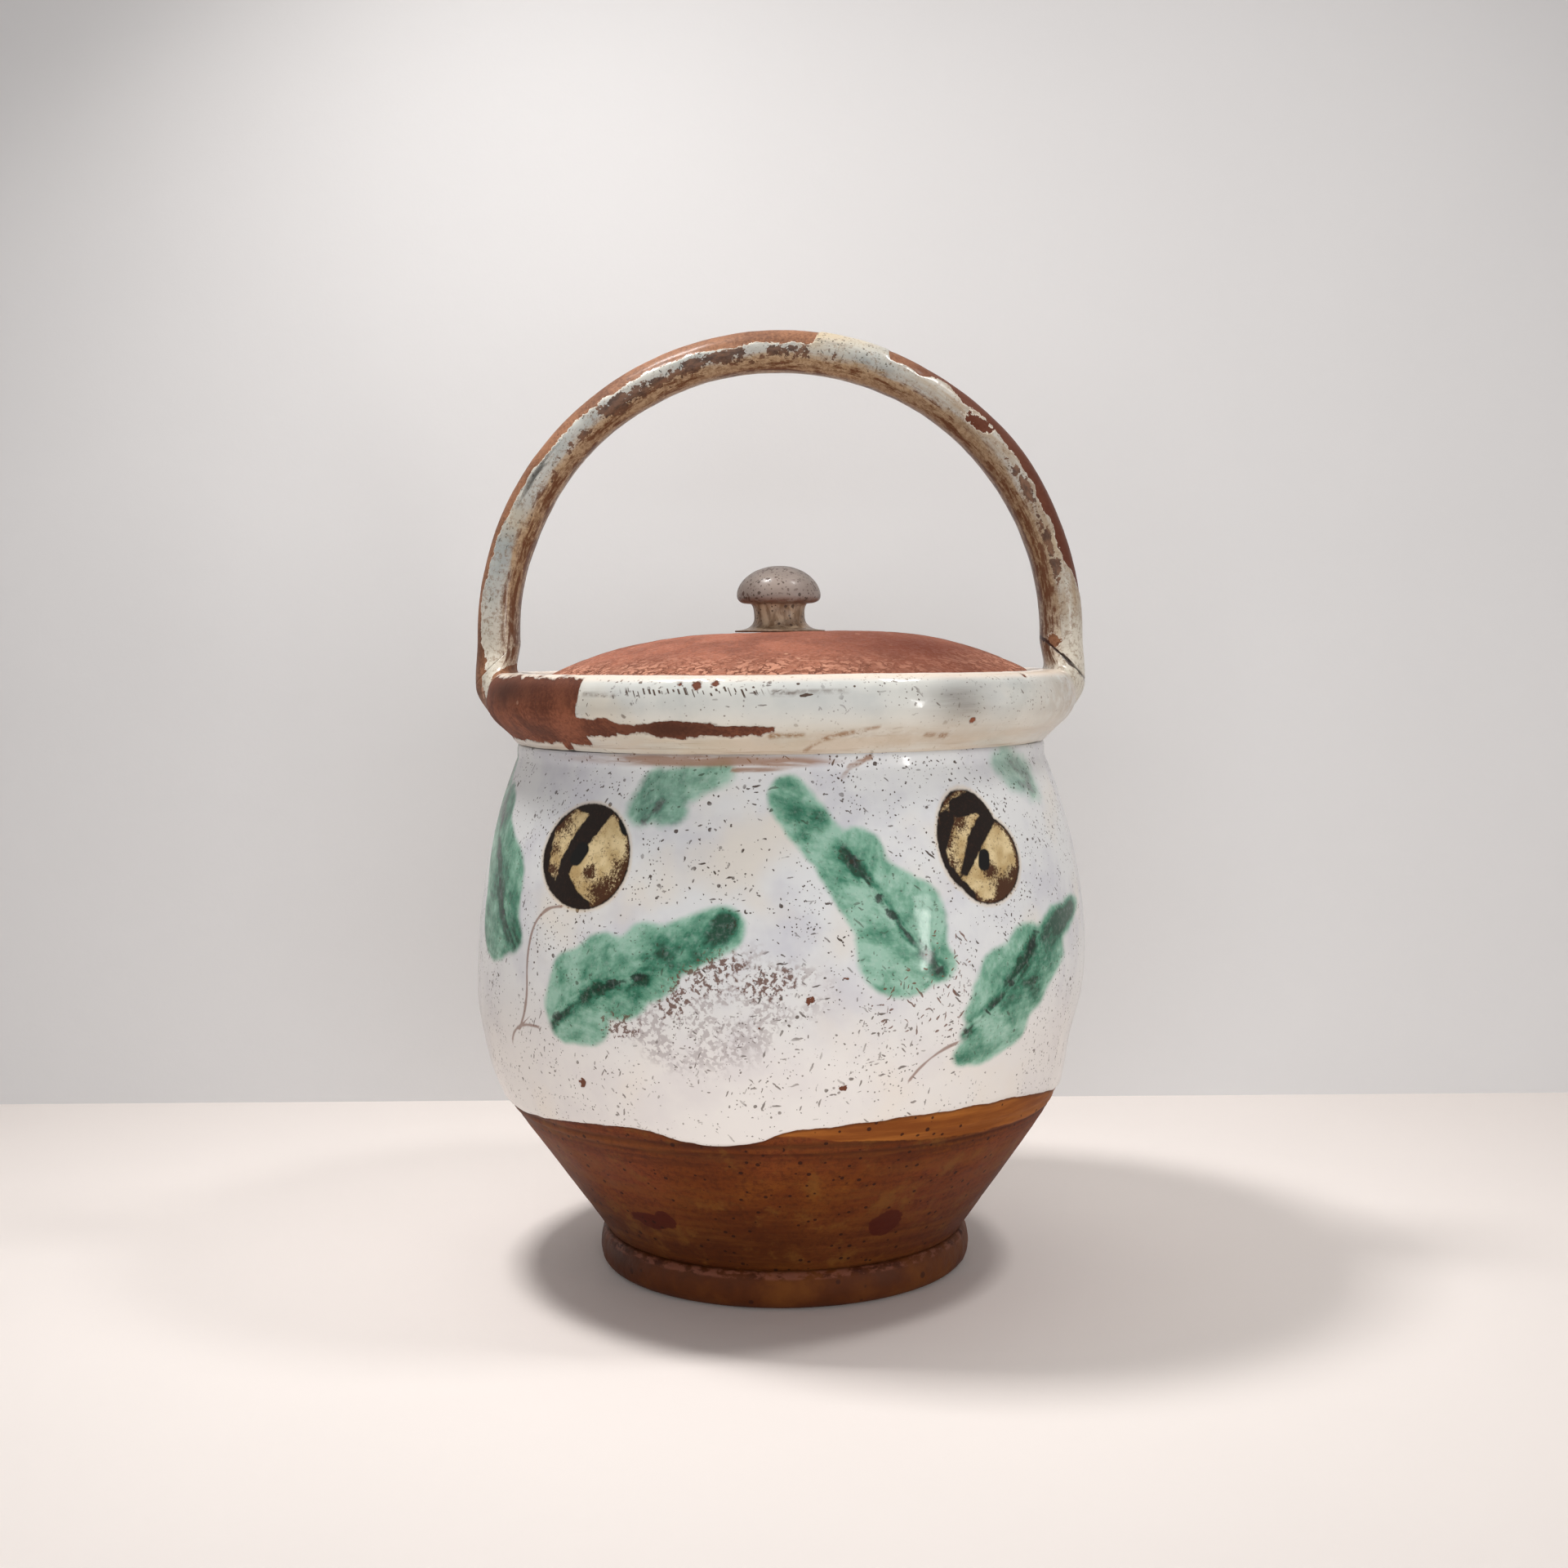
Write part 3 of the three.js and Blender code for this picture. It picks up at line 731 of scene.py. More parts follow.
def makeBody():
    outline, first, last = bodyOutline()
    points, normals, degrees = turnedGrid(outline, bodyShape["columns"], False)
    height = points[..., 2]
    outside = np.zeros(height.shape)
    outside[first:last + 1] = 1
    drop = height - roundTheLoop(glazeEdge, degrees) + uneven(points, bodyShape["edgeWaves"])
    drop = np.where(outside > 0, drop, 40)  # the inside is glazed all over
    honey = np.full(height.shape, -9.0)
    for start, end, depth in honeyBands:
        share = np.clip(((degrees - start) % 360) / (end - start), 0, 1)
        honey = np.maximum(honey, drop + depth * np.sin(math.pi * share) ** 0.8)

    # what is painted on it, and its marks
    leaves = [leafFields(k, leafManner | leaf, degrees, height) for k, leaf in enumerate(paintedLeaves)]
    fruit = [fruitFields(name, facing, degrees, height) for name, facing in paintedFruit]
    stems = [stemFields(stem, degrees, height) for stem in brushStems]
    leafNames = ("leafGap", "leafDepth", "leafRib", "leafAlong", "leafAcross", "leafStrength")
    fields = dict(zip(leafNames, nearest((99.0, 0, 0, 0, 0, 1), leaves)))
    fruitNames = ("fruitGap", "fruitStroke", "fruitSeed", "fruitShade")
    fields |= zip(fruitNames, nearest((99.0, 0, 0, 0), fruit))
    _, fields["stemOffset"], fields["stemMask"] = nearest((99.0, 99.0, 0), stems)
    fields |= {label: patchShare(patches, degrees, height) for label, patches in bodyPatches.items()}
    fields["smear"] = np.maximum(fields["smear"], strokeShare(neckScuffs, degrees, height))
    fields["chipGap"] = np.minimum(chipGap(glazeChips, degrees, height), 9)

    # glaze that stands on the clay, turning grooves and the uneven wall
    offset = bodyShape["glazeStep"] * ease(-0.3, 0.9, drop) + bodyShape["glazeLip"] * bump(drop, 1.0, 1.3)
    grooves = np.zeros(height.shape)
    for level, depth, reach in throwGrooves:
        level = level + 1.1 * np.sin(np.radians(degrees + 40)) + 0.4 * softNoise(points, 25, 61)
        cut = depth * bump(height, level, reach)
        offset = offset - cut * ease(1.5, -1.0, drop)
        grooves = np.maximum(grooves, cut / 0.4)
    rings = np.sin(height * 1.15 + 0.8 * softNoise(points, 40, 63))
    rings = rings * (0.012 + 0.012 * softNoise(points, 30, 65))
    offset = offset + rings + uneven(points, bodyShape["waves"])
    offset = offset + bodyShape["leafStep"] * ease(0.8, -1.0, fields["leafGap"])
    offset = offset - bodyShape["chipDepth"] * ease(0.4, -0.5, fields["chipGap"])
    lean, tuck = (most * bump(height, level, reach) for most, level, reach in (bellyLean, bellyTuck))
    offset = (offset + tuck) * outside
    points = points + normals * offset[..., None]
    points[..., 0] += lean * outside
    fields |= {"glazeDrop": drop, "honeyDrop": honey, "groove": grooves, "lift": height}
    for label in ("leafGap", "fruitGap", "chipGap"):
        fields[label] = np.where(outside > 0, fields[label], 99)
    for label in ("stemMask", "wear", "rust", "scratch", "smear"):
        fields[label] = fields[label] * outside
    return meshPiece("thrown_body", points, False, fields)


def bodyMaterial():
    material, place = newMaterial("paintedBody")
    field = place.field
    wear = field("wear")
    lift = field("lift")
    blur = place.drift(5, 4, 0.6)
    ragged = place.drift(1.6, 3, 0.6)
    coat, marks = place.through(glazeGroup, amount=wear * 0.3 + 0.66)
    # painted light: the lower belly is painted lighter and warmer towards the bottom, as if lit from the
    # table below; partly the glaze's own warmer tone
    coat = coat.tint(lift.ease(128, 76, 0.0, 0.55), tone(232, 221, 211))

    # the worn patch: grey spots
    worn = wear * place.noise(7, 3).ease(0.30, 0.58)
    spots = place.wobble(2, 1.5).noise(1.5).ease(0.45, 0.55) * worn.ease(0.12, 0.5)
    coat = coat.tint(spots * 0.75, tone(170, 160, 158))

    # copper green leaves laid on in strokes, with a soft dark rib
    along = field("leafAlong")
    across = field("leafAcross")
    side = abs(across)
    rib = field("leafRib")
    brush = place.node("CombineXYZ", {0: along * (0.4 * mm), 1: across * mm})
    veins = place.node("CombineXYZ", {0: (along + side) * (0.22 * mm), 1: (along - side) * (0.7 * mm)})
    veined = veins.drift(4.5, 4, 0.6)
    depth = place.drift(8, 4, 0.6) * 1.5 + field("leafDepth")
    depth = depth + veined * 1.2 + brush.drift(3.4, 5, 0.65) * 0.75
    ribEdge = abs(blur * 2.2 + across)
    wash = ribEdge.ease(4.2, 0.5) * brush.noise(5, 3).ease(0.40, 0.58) * rib
    greens = [(0.0, tone(146, 184, 164)), (0.34, tone(104, 153, 129))]
    greens += [(0.66, tone(52, 114, 89)), (1.0, tone(14, 62, 43))]
    green = (depth + wash * 0.72).ramp(*greens)
    line = ribEdge.ease(0.7, 0.2) * veined.ease(-0.08, 0.10, 0.15, 0.9)
    gap, chance = along.cells(0.11)
    drops = (gap * 9.0 / (chance[0] * 4.0 - 0.6 | 0.1)) ** 2.0 + (ribEdge / 1.35) ** 2.0
    drops = (ragged * 2.4 + drops).ease(1.3, 0.3)
    green = green.tint((line | drops) * rib * 0.9, tone(9, 32, 24))
    cover = (blur * 1.8 + field("leafGap")).ease(0.9, -1.4) * field("leafStrength")
    coat = coat.tint(cover * place.noise(1.5, 3, 0.6).ease(0.2, 0.55, 0.86, 1.0), green)
    coat = coat.tint(marks * 0.6, tone(56, 46, 38))

    # rust in the worn patch
    rust = field("rust")
    clustered = rust * 0.16 + place.wobble(2, 2.0).noise(1.5, 3, 0.6)
    deep = clustered.ease(0.625, 0.675) * rust.ease(0.1, 0.4)
    coat = coat.tint(deep * 0.85, tone(100, 70, 58))

    # brown stems and fruit
    stem = (place.drift(6) * 0.9 + abs(field("stemOffset"))).ease(0.8, 0.2) * field("stemMask")
    coat = coat.tint(stem * 0.75, tone(122, 82, 64))
    grit = place.noise(0.8, 5, 0.8)
    ink = grit.ease(0.5, 0.7).pick(tone(18, 7, 2), tone(44, 23, 10))
    stipple = field("fruitShade") * 0.56 + (blur * 0.35 + grit)
    fruit = place.noise(6, 3).ease(0.3, 0.7).pick(tone(174, 147, 100), tone(214, 193, 149))
    fruit = fruit.tint(stipple.ease(0.58, 0.76), tone(66, 38, 18))
    fruit = fruit.tint((ragged * 1.5 + field("fruitStroke")).ease(0.30, -0.30), ink)
    fruit = fruit.tint(field("fruitSeed").ease(0.3, -0.3), tone(5, 4, 3))
    fruitEdge = ragged * 0.7 + field("fruitGap")
    painted = fruitEdge.ease(0.30, -0.30)
    coat = coat.tint(fruitEdge.ease(1.3, 0.0, 0.0, 0.4), tone(200, 172, 128))
    coat = coat.tint(painted, fruit)

    # fine scratches, chips through to the clay and brown smears under the rim
    scraped = field("scratch").ease(0.10, 0.6) * 0.42
    turns = [(0.1, 0.08, 0.0), (0.1, 1.45, 0.0), (0.1, 0.75, 0.0), (0.1, -0.7, 0.0)]
    scratch = hairMarks(place.wobble(3, 1.8), 1.3, scraped, 9.0, *turns)
    chip = (ragged * 2.6 + field("chipGap")).ease(0.15, -0.15)
    smear = place.stretch(0.2, 0.2, 1.6).noise(6, 4, 0.65).ease(0.30, 0.55, 0.2, 1.0)
    smear = smear * field("smear").ease(0.05, 0.7)
    coat = coat.layers(
        (scratch * 0.85, 104, 68, 52),
        (chip, 104, 60, 42),
        (smear * 0.85, 138, 98, 70),
    )

    # thin honey and brown glaze on the cone
    cloud = place.noise(26, 4, 0.6)
    turned = place.stretch(0.12, 0.12, 1.4).noise(6, 4, 0.65)
    amber = turned.ease(0.35, 0.65).pick(tone(124, 66, 22), tone(160, 96, 38))
    honey = (blur * 1.4 + field("honeyDrop")).ease(-0.25, 0.35)
    dropEdge = ragged * 0.5 + field("glazeDrop")
    brown = cloud.ramp((0.25, tone(84, 36, 10)), (0.5, tone(99, 47, 13)), (0.75, tone(124, 70, 22)))
    brown = brown.layers(
        (place.noise(45).ease(0.45, 0.65, 0.0, 0.6), 116, 54, 26),
        # painted shade: the turning grooves painted darker
        (field("groove") * 0.7, 52, 18, 7),
        # painted shade: darker towards the foot, where the glaze also pools darker
        (lift.ease(50, 18, 0.0, 0.6), 52, 22, 7),
        (place.noise(1.8, 5, 0.75).ease(0.42, 0.66, 0.0, 0.6), 60, 26, 9),
        (place.noise(11, 4, 0.65).ease(0.52, 0.70, 0.0, 0.55), 112, 72, 28),
        (turned.ease(0.46, 0.66, 0.0, 0.32), 112, 66, 24),
        (turned.ease(0.46, 0.32, 0.0, 0.36), 54, 20, 7),
    )
    brown = brown.tint(honey * 0.85, amber)
    brown = brown.layers(
        ((blur * 0.6 + field("clayDab")).ease(0.40, 0.50, 0.0, 0.85), 62, 14, 6),
        (specks(place, 2.6, 0.5) * 0.85, 36, 13, 6),
        # a thin dark line under the white glaze's edge: the brown glaze is darker there, plus a painted
        # shadow under the white glaze's lip
        (dropEdge.ease(-1.3, -0.1) * dropEdge.ease(0.25, 0.0) * 0.6, 64, 30, 16),
    )

    white = dropEdge.ease(-0.10, 0.22)
    dull = deep | scratch | chip | marks | painted
    return dress(material, {
        "Base Color": brown.tint(white, coat), "Coat Roughness": 0.10,
        "Coat Weight": (white * 0.52 + 0.05) * (1.0 - dull * 0.8),
        "Roughness": cloud.ease(0.3, 0.7, 0.64, 0.76) - white * 0.22,
        "Normal": (blur * 0.35 + white * 0.8 - chip * 0.6).relief(0.3, 0.7),
    })


fitPiece(makeBody(), "pot", "pot_body", bodyMaterial())


# Rolled rim with the gallery for the lid

rimShape = {"undercut": (7.2, 6.6), "widestRise": 14.5, "crestInset": 5.9, "crestRound": 0.8, "lipWidth": 7.6,
            "lipRound": 1.6, "galleryDepth": 8, "ledgeWidth": 10, "wall": 6, "columns": 620, "spacing": 0.75,
            "lidGap": 0.8, "flakeDepth": 0.42, "flakeWaves": [(0.9, 6, 71, 3)],
            "waves": [(0.22, 35, 73, 1), (0.08, 6, 75, 3)]}
# Bare patch at the left end of the rim and the strip that runs on from it, in degrees and millimetres
rimBare = {"from": -112, "to": -38.4, "low": 181.8, "high": 202.6, "slant": 0.075, "slantHeight": 196}
rimStrip = [(-40, 187.6, 3.2), (-30, 187.4, 1.6), (-20, 187.2, 2.2), (-10, 186.8, 1.8), (-1.5, 187.3, 0.2)]
rimChips = [((-17.6, 201.4), 0.5), ((-14.4, 200.9), 0.8), ((-11, 201.3), 0.5), ((36.3, 189.0), 0.7),
            ((52, 202.4), 0.8), ((-47, 181.2), 2.6), ((130, 200), 2.4), ((163, 190), 1.6), ((-150, 202), 1.3)]
rimPatches = {
    "bruise": [((33, 194), (11, 7)), ((150, 192), (16, 7))],
    "stain": [((-62, 199), (16, 5)), ((-20, 187), (26, 5))],
    "tick": [((-15.5, 198.6), (19, 2.2)), ((160, 199), (20, 1.7))],
    "line": [((5, 198.6), (16, 1.3)), ((-34, 198.4), (8, 0.8)), ((120, 198), (22, 1.4))],
    "dirt": [((72, 193), (26, 12)), ((20, 184), (60, 3)), ((170, 190), (50, 9))],
}
# Brown scuffs on the rim: from, to and half width
rimScuffs = [
    ((-1.7, 185.5), (4.1, 185.7), 0.6), ((4.7, 180.8), (7.5, 184.1), 0.3), ((7.5, 184.1), (11.1, 186.0), 0.5),
    ((11.1, 186.0), (17.4, 187.8), 0.3), ((8, 184.4), (14, 186.6), 0.5), ((32, 184.5), (27.3, 185.1), 0.6),
    ((-1, 198.4), (2.5, 198.1), 0.5), ((2.7, 198.6), (11.7, 198.7), 0.1),
    ((-36.7, 197.9), (-29.8, 197.5), 0.1), ((140, 184), (158, 187), 0.7), ((120, 198), (131, 198.3), 0.3),
]


def rimOutlines():
    low, high = nodeSpan("rim_collar")
    bottom, top, widest = low[2], high[2], high[0]
    neck = bodyShape["neckRadius"]
    bore = neck - rimShape["wall"]
    under = (neck + rimShape["undercut"][0], bottom + rimShape["undercut"][1])
    widestHeight = bottom + rimShape["widestRise"]
    crest = widest - rimShape["crestInset"]
    gallery = crest - rimShape["lipWidth"]
    ledge = top - rimShape["galleryDepth"]
    ledgeRadius = gallery - rimShape["ledgeWidth"]
    lip = rimShape["lipRound"]
    outside = evenly(np.vstack([
        [(neck, bottom)],
        bend((neck + 0.4, bottom + 0.2), (neck + 3.4, bottom + 3.4), under),
        bend(under, (widest, (under[1] + widestHeight) / 2), (widest, widestHeight)),
        bend((widest, widestHeight), (widest, top - rimShape["crestRound"]), (crest, top)),
        [(gallery + lip, top)],
    ]), rimShape["spacing"])
    rounded = bend((gallery + lip, top), (gallery, top), (gallery, top - lip))
    inside = joinOutlines(
        evenly(np.vstack([rounded, [(gallery, ledge)]]), 1.2),
        evenly([(gallery, ledge), (ledgeRadius, ledge)], 2.5),
        evenly(bend((ledgeRadius, ledge), (ledgeRadius, (ledge + bottom) / 2), (bore, bottom)), 2.5),
        evenly([(bore, bottom), (neck, bottom)], 2),
    )
    return outside, inside


def rimBareGap(degrees, height):
    # millimetres to the edge of the bare clay, negative inside it
    right = rimBare["to"] + rimBare["slant"] * (height - rimBare["slantHeight"])
    sides = np.maximum(aroundPot(degrees, right), aroundPot(rimBare["from"], degrees))
    gap = np.maximum(sides, np.maximum(height - rimBare["high"], rimBare["low"] - height))
    at, middle, half = np.array(rimStrip).T
    strip = np.abs(height - np.interp(degrees, at, middle)) - np.interp(degrees, at, half)
    strip = np.maximum(strip, np.maximum(degrees - at[-1], at[0] - degrees) * 1.7)
    return np.minimum(np.minimum(gap, strip), chipGap(rimChips, degrees, height))


def makeRim():
    outside, inside = rimOutlines()
    points, normals, degrees = turnedGrid(joinOutlines(outside, inside)[:-1], rimShape["columns"], True)
    height = points[..., 2]
    shown = np.zeros(height.shape)
    shown[:len(outside)] = 1
    gap = np.where(shown > 0, rimBareGap(degrees, height), 30) + uneven(points, rimShape["flakeWaves"])
    offset = uneven(points, rimShape["waves"]) - rimShape["flakeDepth"] * ease(0.5, -0.5, gap)
    seat = fromAxis(points) < nodeSpan("lid_dome")[1][0] + rimShape["lidGap"]
    offset = np.where(seat, 0, offset * shown)
    fields = {label: patchShare(patches, degrees, height) for label, patches in rimPatches.items()}
    fields |= {"bareGap": gap, "scuff": strokeShare(rimScuffs, degrees, height)}
    fields |= {"lift": height, "arc": aroundPot(degrees, 0)}
    return meshPiece("rolled_rim", points + normals * offset[..., None], True, fields)


def rimMaterial():
    material, place = newMaterial("rimGlaze")
    field = place.field
    lift = field("lift")
    crown = lift.ease(199.0, 202.5)
    loose = place.wobble(3, 1.6)
    dingy = {"base": tone(206, 205, 198), "cloud": tone(186, 188, 183), "warm": tone(206, 195, 177)}
    coat, marks = place.through(glazeGroup, amount=crown * 0.5 + 0.7, **dingy)

    # dirt that runs round the rim
    streaks = place.stretch(0.16, 0.16, 1.5).noise(6, 4, 0.6)
    lines = place.stretch(0.10, 0.10, 3.0).noise(7, 3, 0.7).ease(0.54, 0.62) * lift.ease(188.5, 184.0)
    grey = place.stretch(0.5, 0.5, 1.0).noise(14, 3, 0.6).ease(0.50, 0.66, 0.0, 0.4)
    coat = coat.layers(
        (lift.ease(190, 183) * streaks.ease(0.42, 0.64, 0.1, 0.75), 190, 165, 138),
        (lines * 0.7, 138, 100, 70),
        (grey, 186, 188, 186),
    )

    # short ticks under the crown, flat lines and pits
    gap, chance = (lift * 0.45 + field("arc")).cells(0.62)
    thin = chance[0] * 0.26 + 0.10 - gap
    short = chance[2] + 0.5 - abs(lift + (chance[1] * 1.8 - 199.5))
    ticks = thin.ease(0.0, 0.10) * short.ease(0.0, 0.3) * (field("tick") * 1.1).ease(0.15, 0.4)
    ticks = ticks | hairMarks(loose, 1.5, field("line") * 0.8, 8.0, (0.1, 1.5, 0.0))
    ticks = ticks | specks(loose, 1.9, crown * 0.25)
    coat = coat.tint(ticks * 0.95, tone(70, 50, 39))

    # bruises, handled dirt, a painted highlight along the crown and brown scuffs
    scuff = field("scuff") * loose.noise(2.2, 4, 0.7).ease(0.36, 0.58, 0.15, 0.9)
    dirt = field("dirt") * place.noise(6, 4, 0.65).ease(0.32, 0.60, 0.2, 0.8)
    coat = coat.layers(
        (field("bruise") * streaks.ease(0.3, 0.7, 0.6, 1.0), 112, 106, 99),
        (dirt, 166, 142, 116),
        # painted highlight: the crown of the rim painted paler
        (lift.ease(201, 203) * 0.6, 228, 206, 186),
        (lift.ease(196, 186) * 0.45, 212, 199, 180),
    )
    coat = coat.tint(scuff, lift.ease(190, 196).pick(tone(142, 102, 64), tone(86, 66, 52)))

    # clay where the glaze is gone
    bare, lip = place.through(flakeGroup, distance=field("bareGap"), ragged=1.5)
    fired, grain = place.through(clayGroup, light=tone(146, 88, 64), dark=tone(98, 56, 41), pits=0.3)
    fired = fired.layers(
        (place.noise(13, 3, 0.6).ease(0.50, 0.68, 0.0, 0.6), 78, 46, 36),
        (lift.ease(190, 200, 0.0, 0.65), 72, 38, 27),
        (field("stain") * 0.85, 64, 37, 27),
    )
    coat = coat.tint(lip * 0.5, tone(104, 72, 56))
    height = (grain * 0.35 - 1.0) * bare + streaks * 0.2
    return dress(material, {
        "Base Color": coat.tint(bare, fired), "Coat Roughness": 0.10,
        "Coat Weight": (1.0 - (bare | ticks | marks)) * 0.6, "Roughness": bare.ease(0, 1, 0.45, 0.7),
        "Normal": height.relief(0.35, 0.75),
    })


fitPiece(makeRim(), "pot", "rim_collar", rimMaterial())


# Pulled handle

handleShape = {"radius": 96.4, "legHeight": 12, "halfDepth": 7.3, "halfWidth": 8.7, "depthGain": 0.1,
               "widthGain": 0.5, "padThickness": 3.4, "seam": 0.04, "crack": 0.9, "spacing": 0.9,
               "sides": 72, "legRows": 14, "flakeDepth": 0.35, "flakeGrain": (7, 81),
               "waves": [(0.35, 28, 83, 1), (0.10, 6, 85, 3)]}
# Worn outer side: degrees along the arch from its left foot, degrees of the bar that are bare
wornSide = [(-12, 130), (-6, 64), (-1, 46), (7, 40), (16, 50), (34, 62), (55, 68), (75, 74), (90, 78),
            (97, 72), (98.5, -25), (110.5, -25), (112, 58), (119, 60), (121, 46), (127, 46), (129, 60),
            (138, 64), (147, 56), (152, 72), (160, 72), (166, 62), (171, 30), (176, -20), (195, -30)]
# Patches on the bar: middle and half size along it, then round it, in degrees
barePatches = [(134.5, 3.6, 76, 20), (181.7, 1.3, 118, 15), (106, 14, -84, 14)]
stainPatches = [(71, 20, 110, 13), (77, 8, 98, 17), (56, 6, 104, 22), (90, 4, 98, 10), (161, 8, 92, 10),
                (150, 5, 86, 9), (40, 10, -100, 18)]
sootPatches = [(34, 6, 74, 12), (92, 8, 70, 8)]


def barSection(along, around):
    # along: degrees over the arch from its left foot, below 0 and above 180 down the legs
    past = np.where(along < 0, -along, np.maximum(along - 180, 0))
    down = np.radians(past) * handleShape["radius"]
    flare = ease(0, handleShape["legHeight"] + 2, down)
    arch = np.radians(180 - np.clip(along, 0, 180))
    out = np.stack([np.cos(arch), np.zeros_like(arch), np.sin(arch)], -1)
    middle = out * handleShape["radius"]
    middle[..., 2] += nodeSpan("rim_collar")[1][2] + handleShape["legHeight"] - down
    halfDepth = handleShape["halfDepth"] * (1 + handleShape["depthGain"] * flare)
    halfWidth = handleShape["halfWidth"] * (1 + handleShape["widthGain"] * flare ** 2)
    front = np.array([0, -1, 0])
    spread = out * (halfDepth * np.cos(around))[..., None] + front * (halfWidth * np.sin(around))[..., None]
    return middle + spread


def jointAlong(around, side):
    # where the slanted joint crosses each line of the bar, as degrees along
    joint = nodeSpan("rim_collar")[1][2] + handleShape["padThickness"]
    down = handleShape["legHeight"] - handleShape["padThickness"] + 0 * around
    for _ in range(6):
        along = -np.degrees(down / handleShape["radius"])
        point = barSection(along, around)
        down = down + (point[..., 2] - joint) + (np.abs(point[..., 0]) - handleShape["radius"])
    return along if side < 0 else 180 - along


def patchGap(patches, along, around):
    gap = np.full(along.shape, 99.0)
    for middle, half, turn, halfTurn in patches:
        off = (np.degrees(around) - turn + 180) % 360 - 180
        ring = np.hypot((along - middle) / half, off / halfTurn)
        gap = np.minimum(gap, (ring - 1) * np.radians(halfTurn) * handleShape["halfWidth"])
    return gap


def barFields(along, around, points):
    turn = np.abs((np.degrees(around) + 180) % 360 - 180)
    fromEnd = np.minimum(along, 180 - along)
    rightSide = ease(104, 130, along) * ease(182, 172, along)
    worn = np.radians(turn - np.interp(along, *np.array(wornSide, float).T)) * handleShape["halfWidth"]
    gap = np.minimum(worn, patchGap(barePatches, along, around))
    cracked = jointAlong(around, 1)  # only the right joint is cracked
    seam = np.abs(np.radians(along - cracked) * handleShape["radius"])
    length = np.radians(along) * handleShape["radius"]
    return {
        "bareGap": gap + (0.7 + rightSide) * layeredNoise(points, *handleShape["flakeGrain"]),
        "seamGap": seam, "rightSide": rightSide,
        "stainGap": patchGap(stainPatches, along, around), "inner": ease(84, 132, turn),
        "soot": ease(1.6, -1.6, patchGap(sootPatches, along, around)),
        "straight": np.stack([length, 8 * np.cos(around), 8 * np.sin(around)], -1) * mm,
        "ends": ease(60, 5, fromEnd), "feet": ease(12, -3, fromEnd),
    }


def makeHandle():
    around = np.linspace(0, 2 * math.pi, handleShape["sides"], endpoint=False)
    opened = handleShape["seam"] + handleShape["crack"] * ease(-0.75, 0.3, np.cos(around))
    left = jointAlong(around, -1) + np.degrees(handleShape["seam"] / handleShape["radius"])
    right = jointAlong(around, 1) - np.degrees(opened / handleShape["radius"])
    legs = np.linspace(0, 1, handleShape["legRows"], endpoint=False)[:, None]
    archRows = int(math.pi * handleShape["radius"] / handleShape["spacing"])
    arch = np.broadcast_to(np.linspace(0, 180, archRows)[:, None], (archRows, len(around)))
    along = np.vstack([left * (1 - legs), arch, (180 + (right - 180) * (1 - legs))[::-1]])
    around = np.broadcast_to(around, along.shape)
    points = barSection(along, around)
    fields = barFields(along, around, points)
    normals = np.cross(np.roll(points, -1, 1) - np.roll(points, 1, 1), np.gradient(points, axis=0))
    normals /= np.linalg.norm(normals, axis=-1)[..., None]
    free = ease(-4, 14, np.minimum(along, 180 - along))
    flaked = handleShape["flakeDepth"] * ease(0.5, -0.5, fields["bareGap"])
    offset = (uneven(points, handleShape["waves"]) - flaked) * free
    points = points + normals * offset[..., None]
    caps = [np.broadcast_to(points[end].mean(0), (1, *points[end].shape)) for end in (0, -1)]
    padded = {label: np.concatenate([value[:1], value, value[-1:]]) for label, value in fields.items()}
    return meshPiece("handle", np.concatenate([caps[0], points, caps[1]]), False, padded)


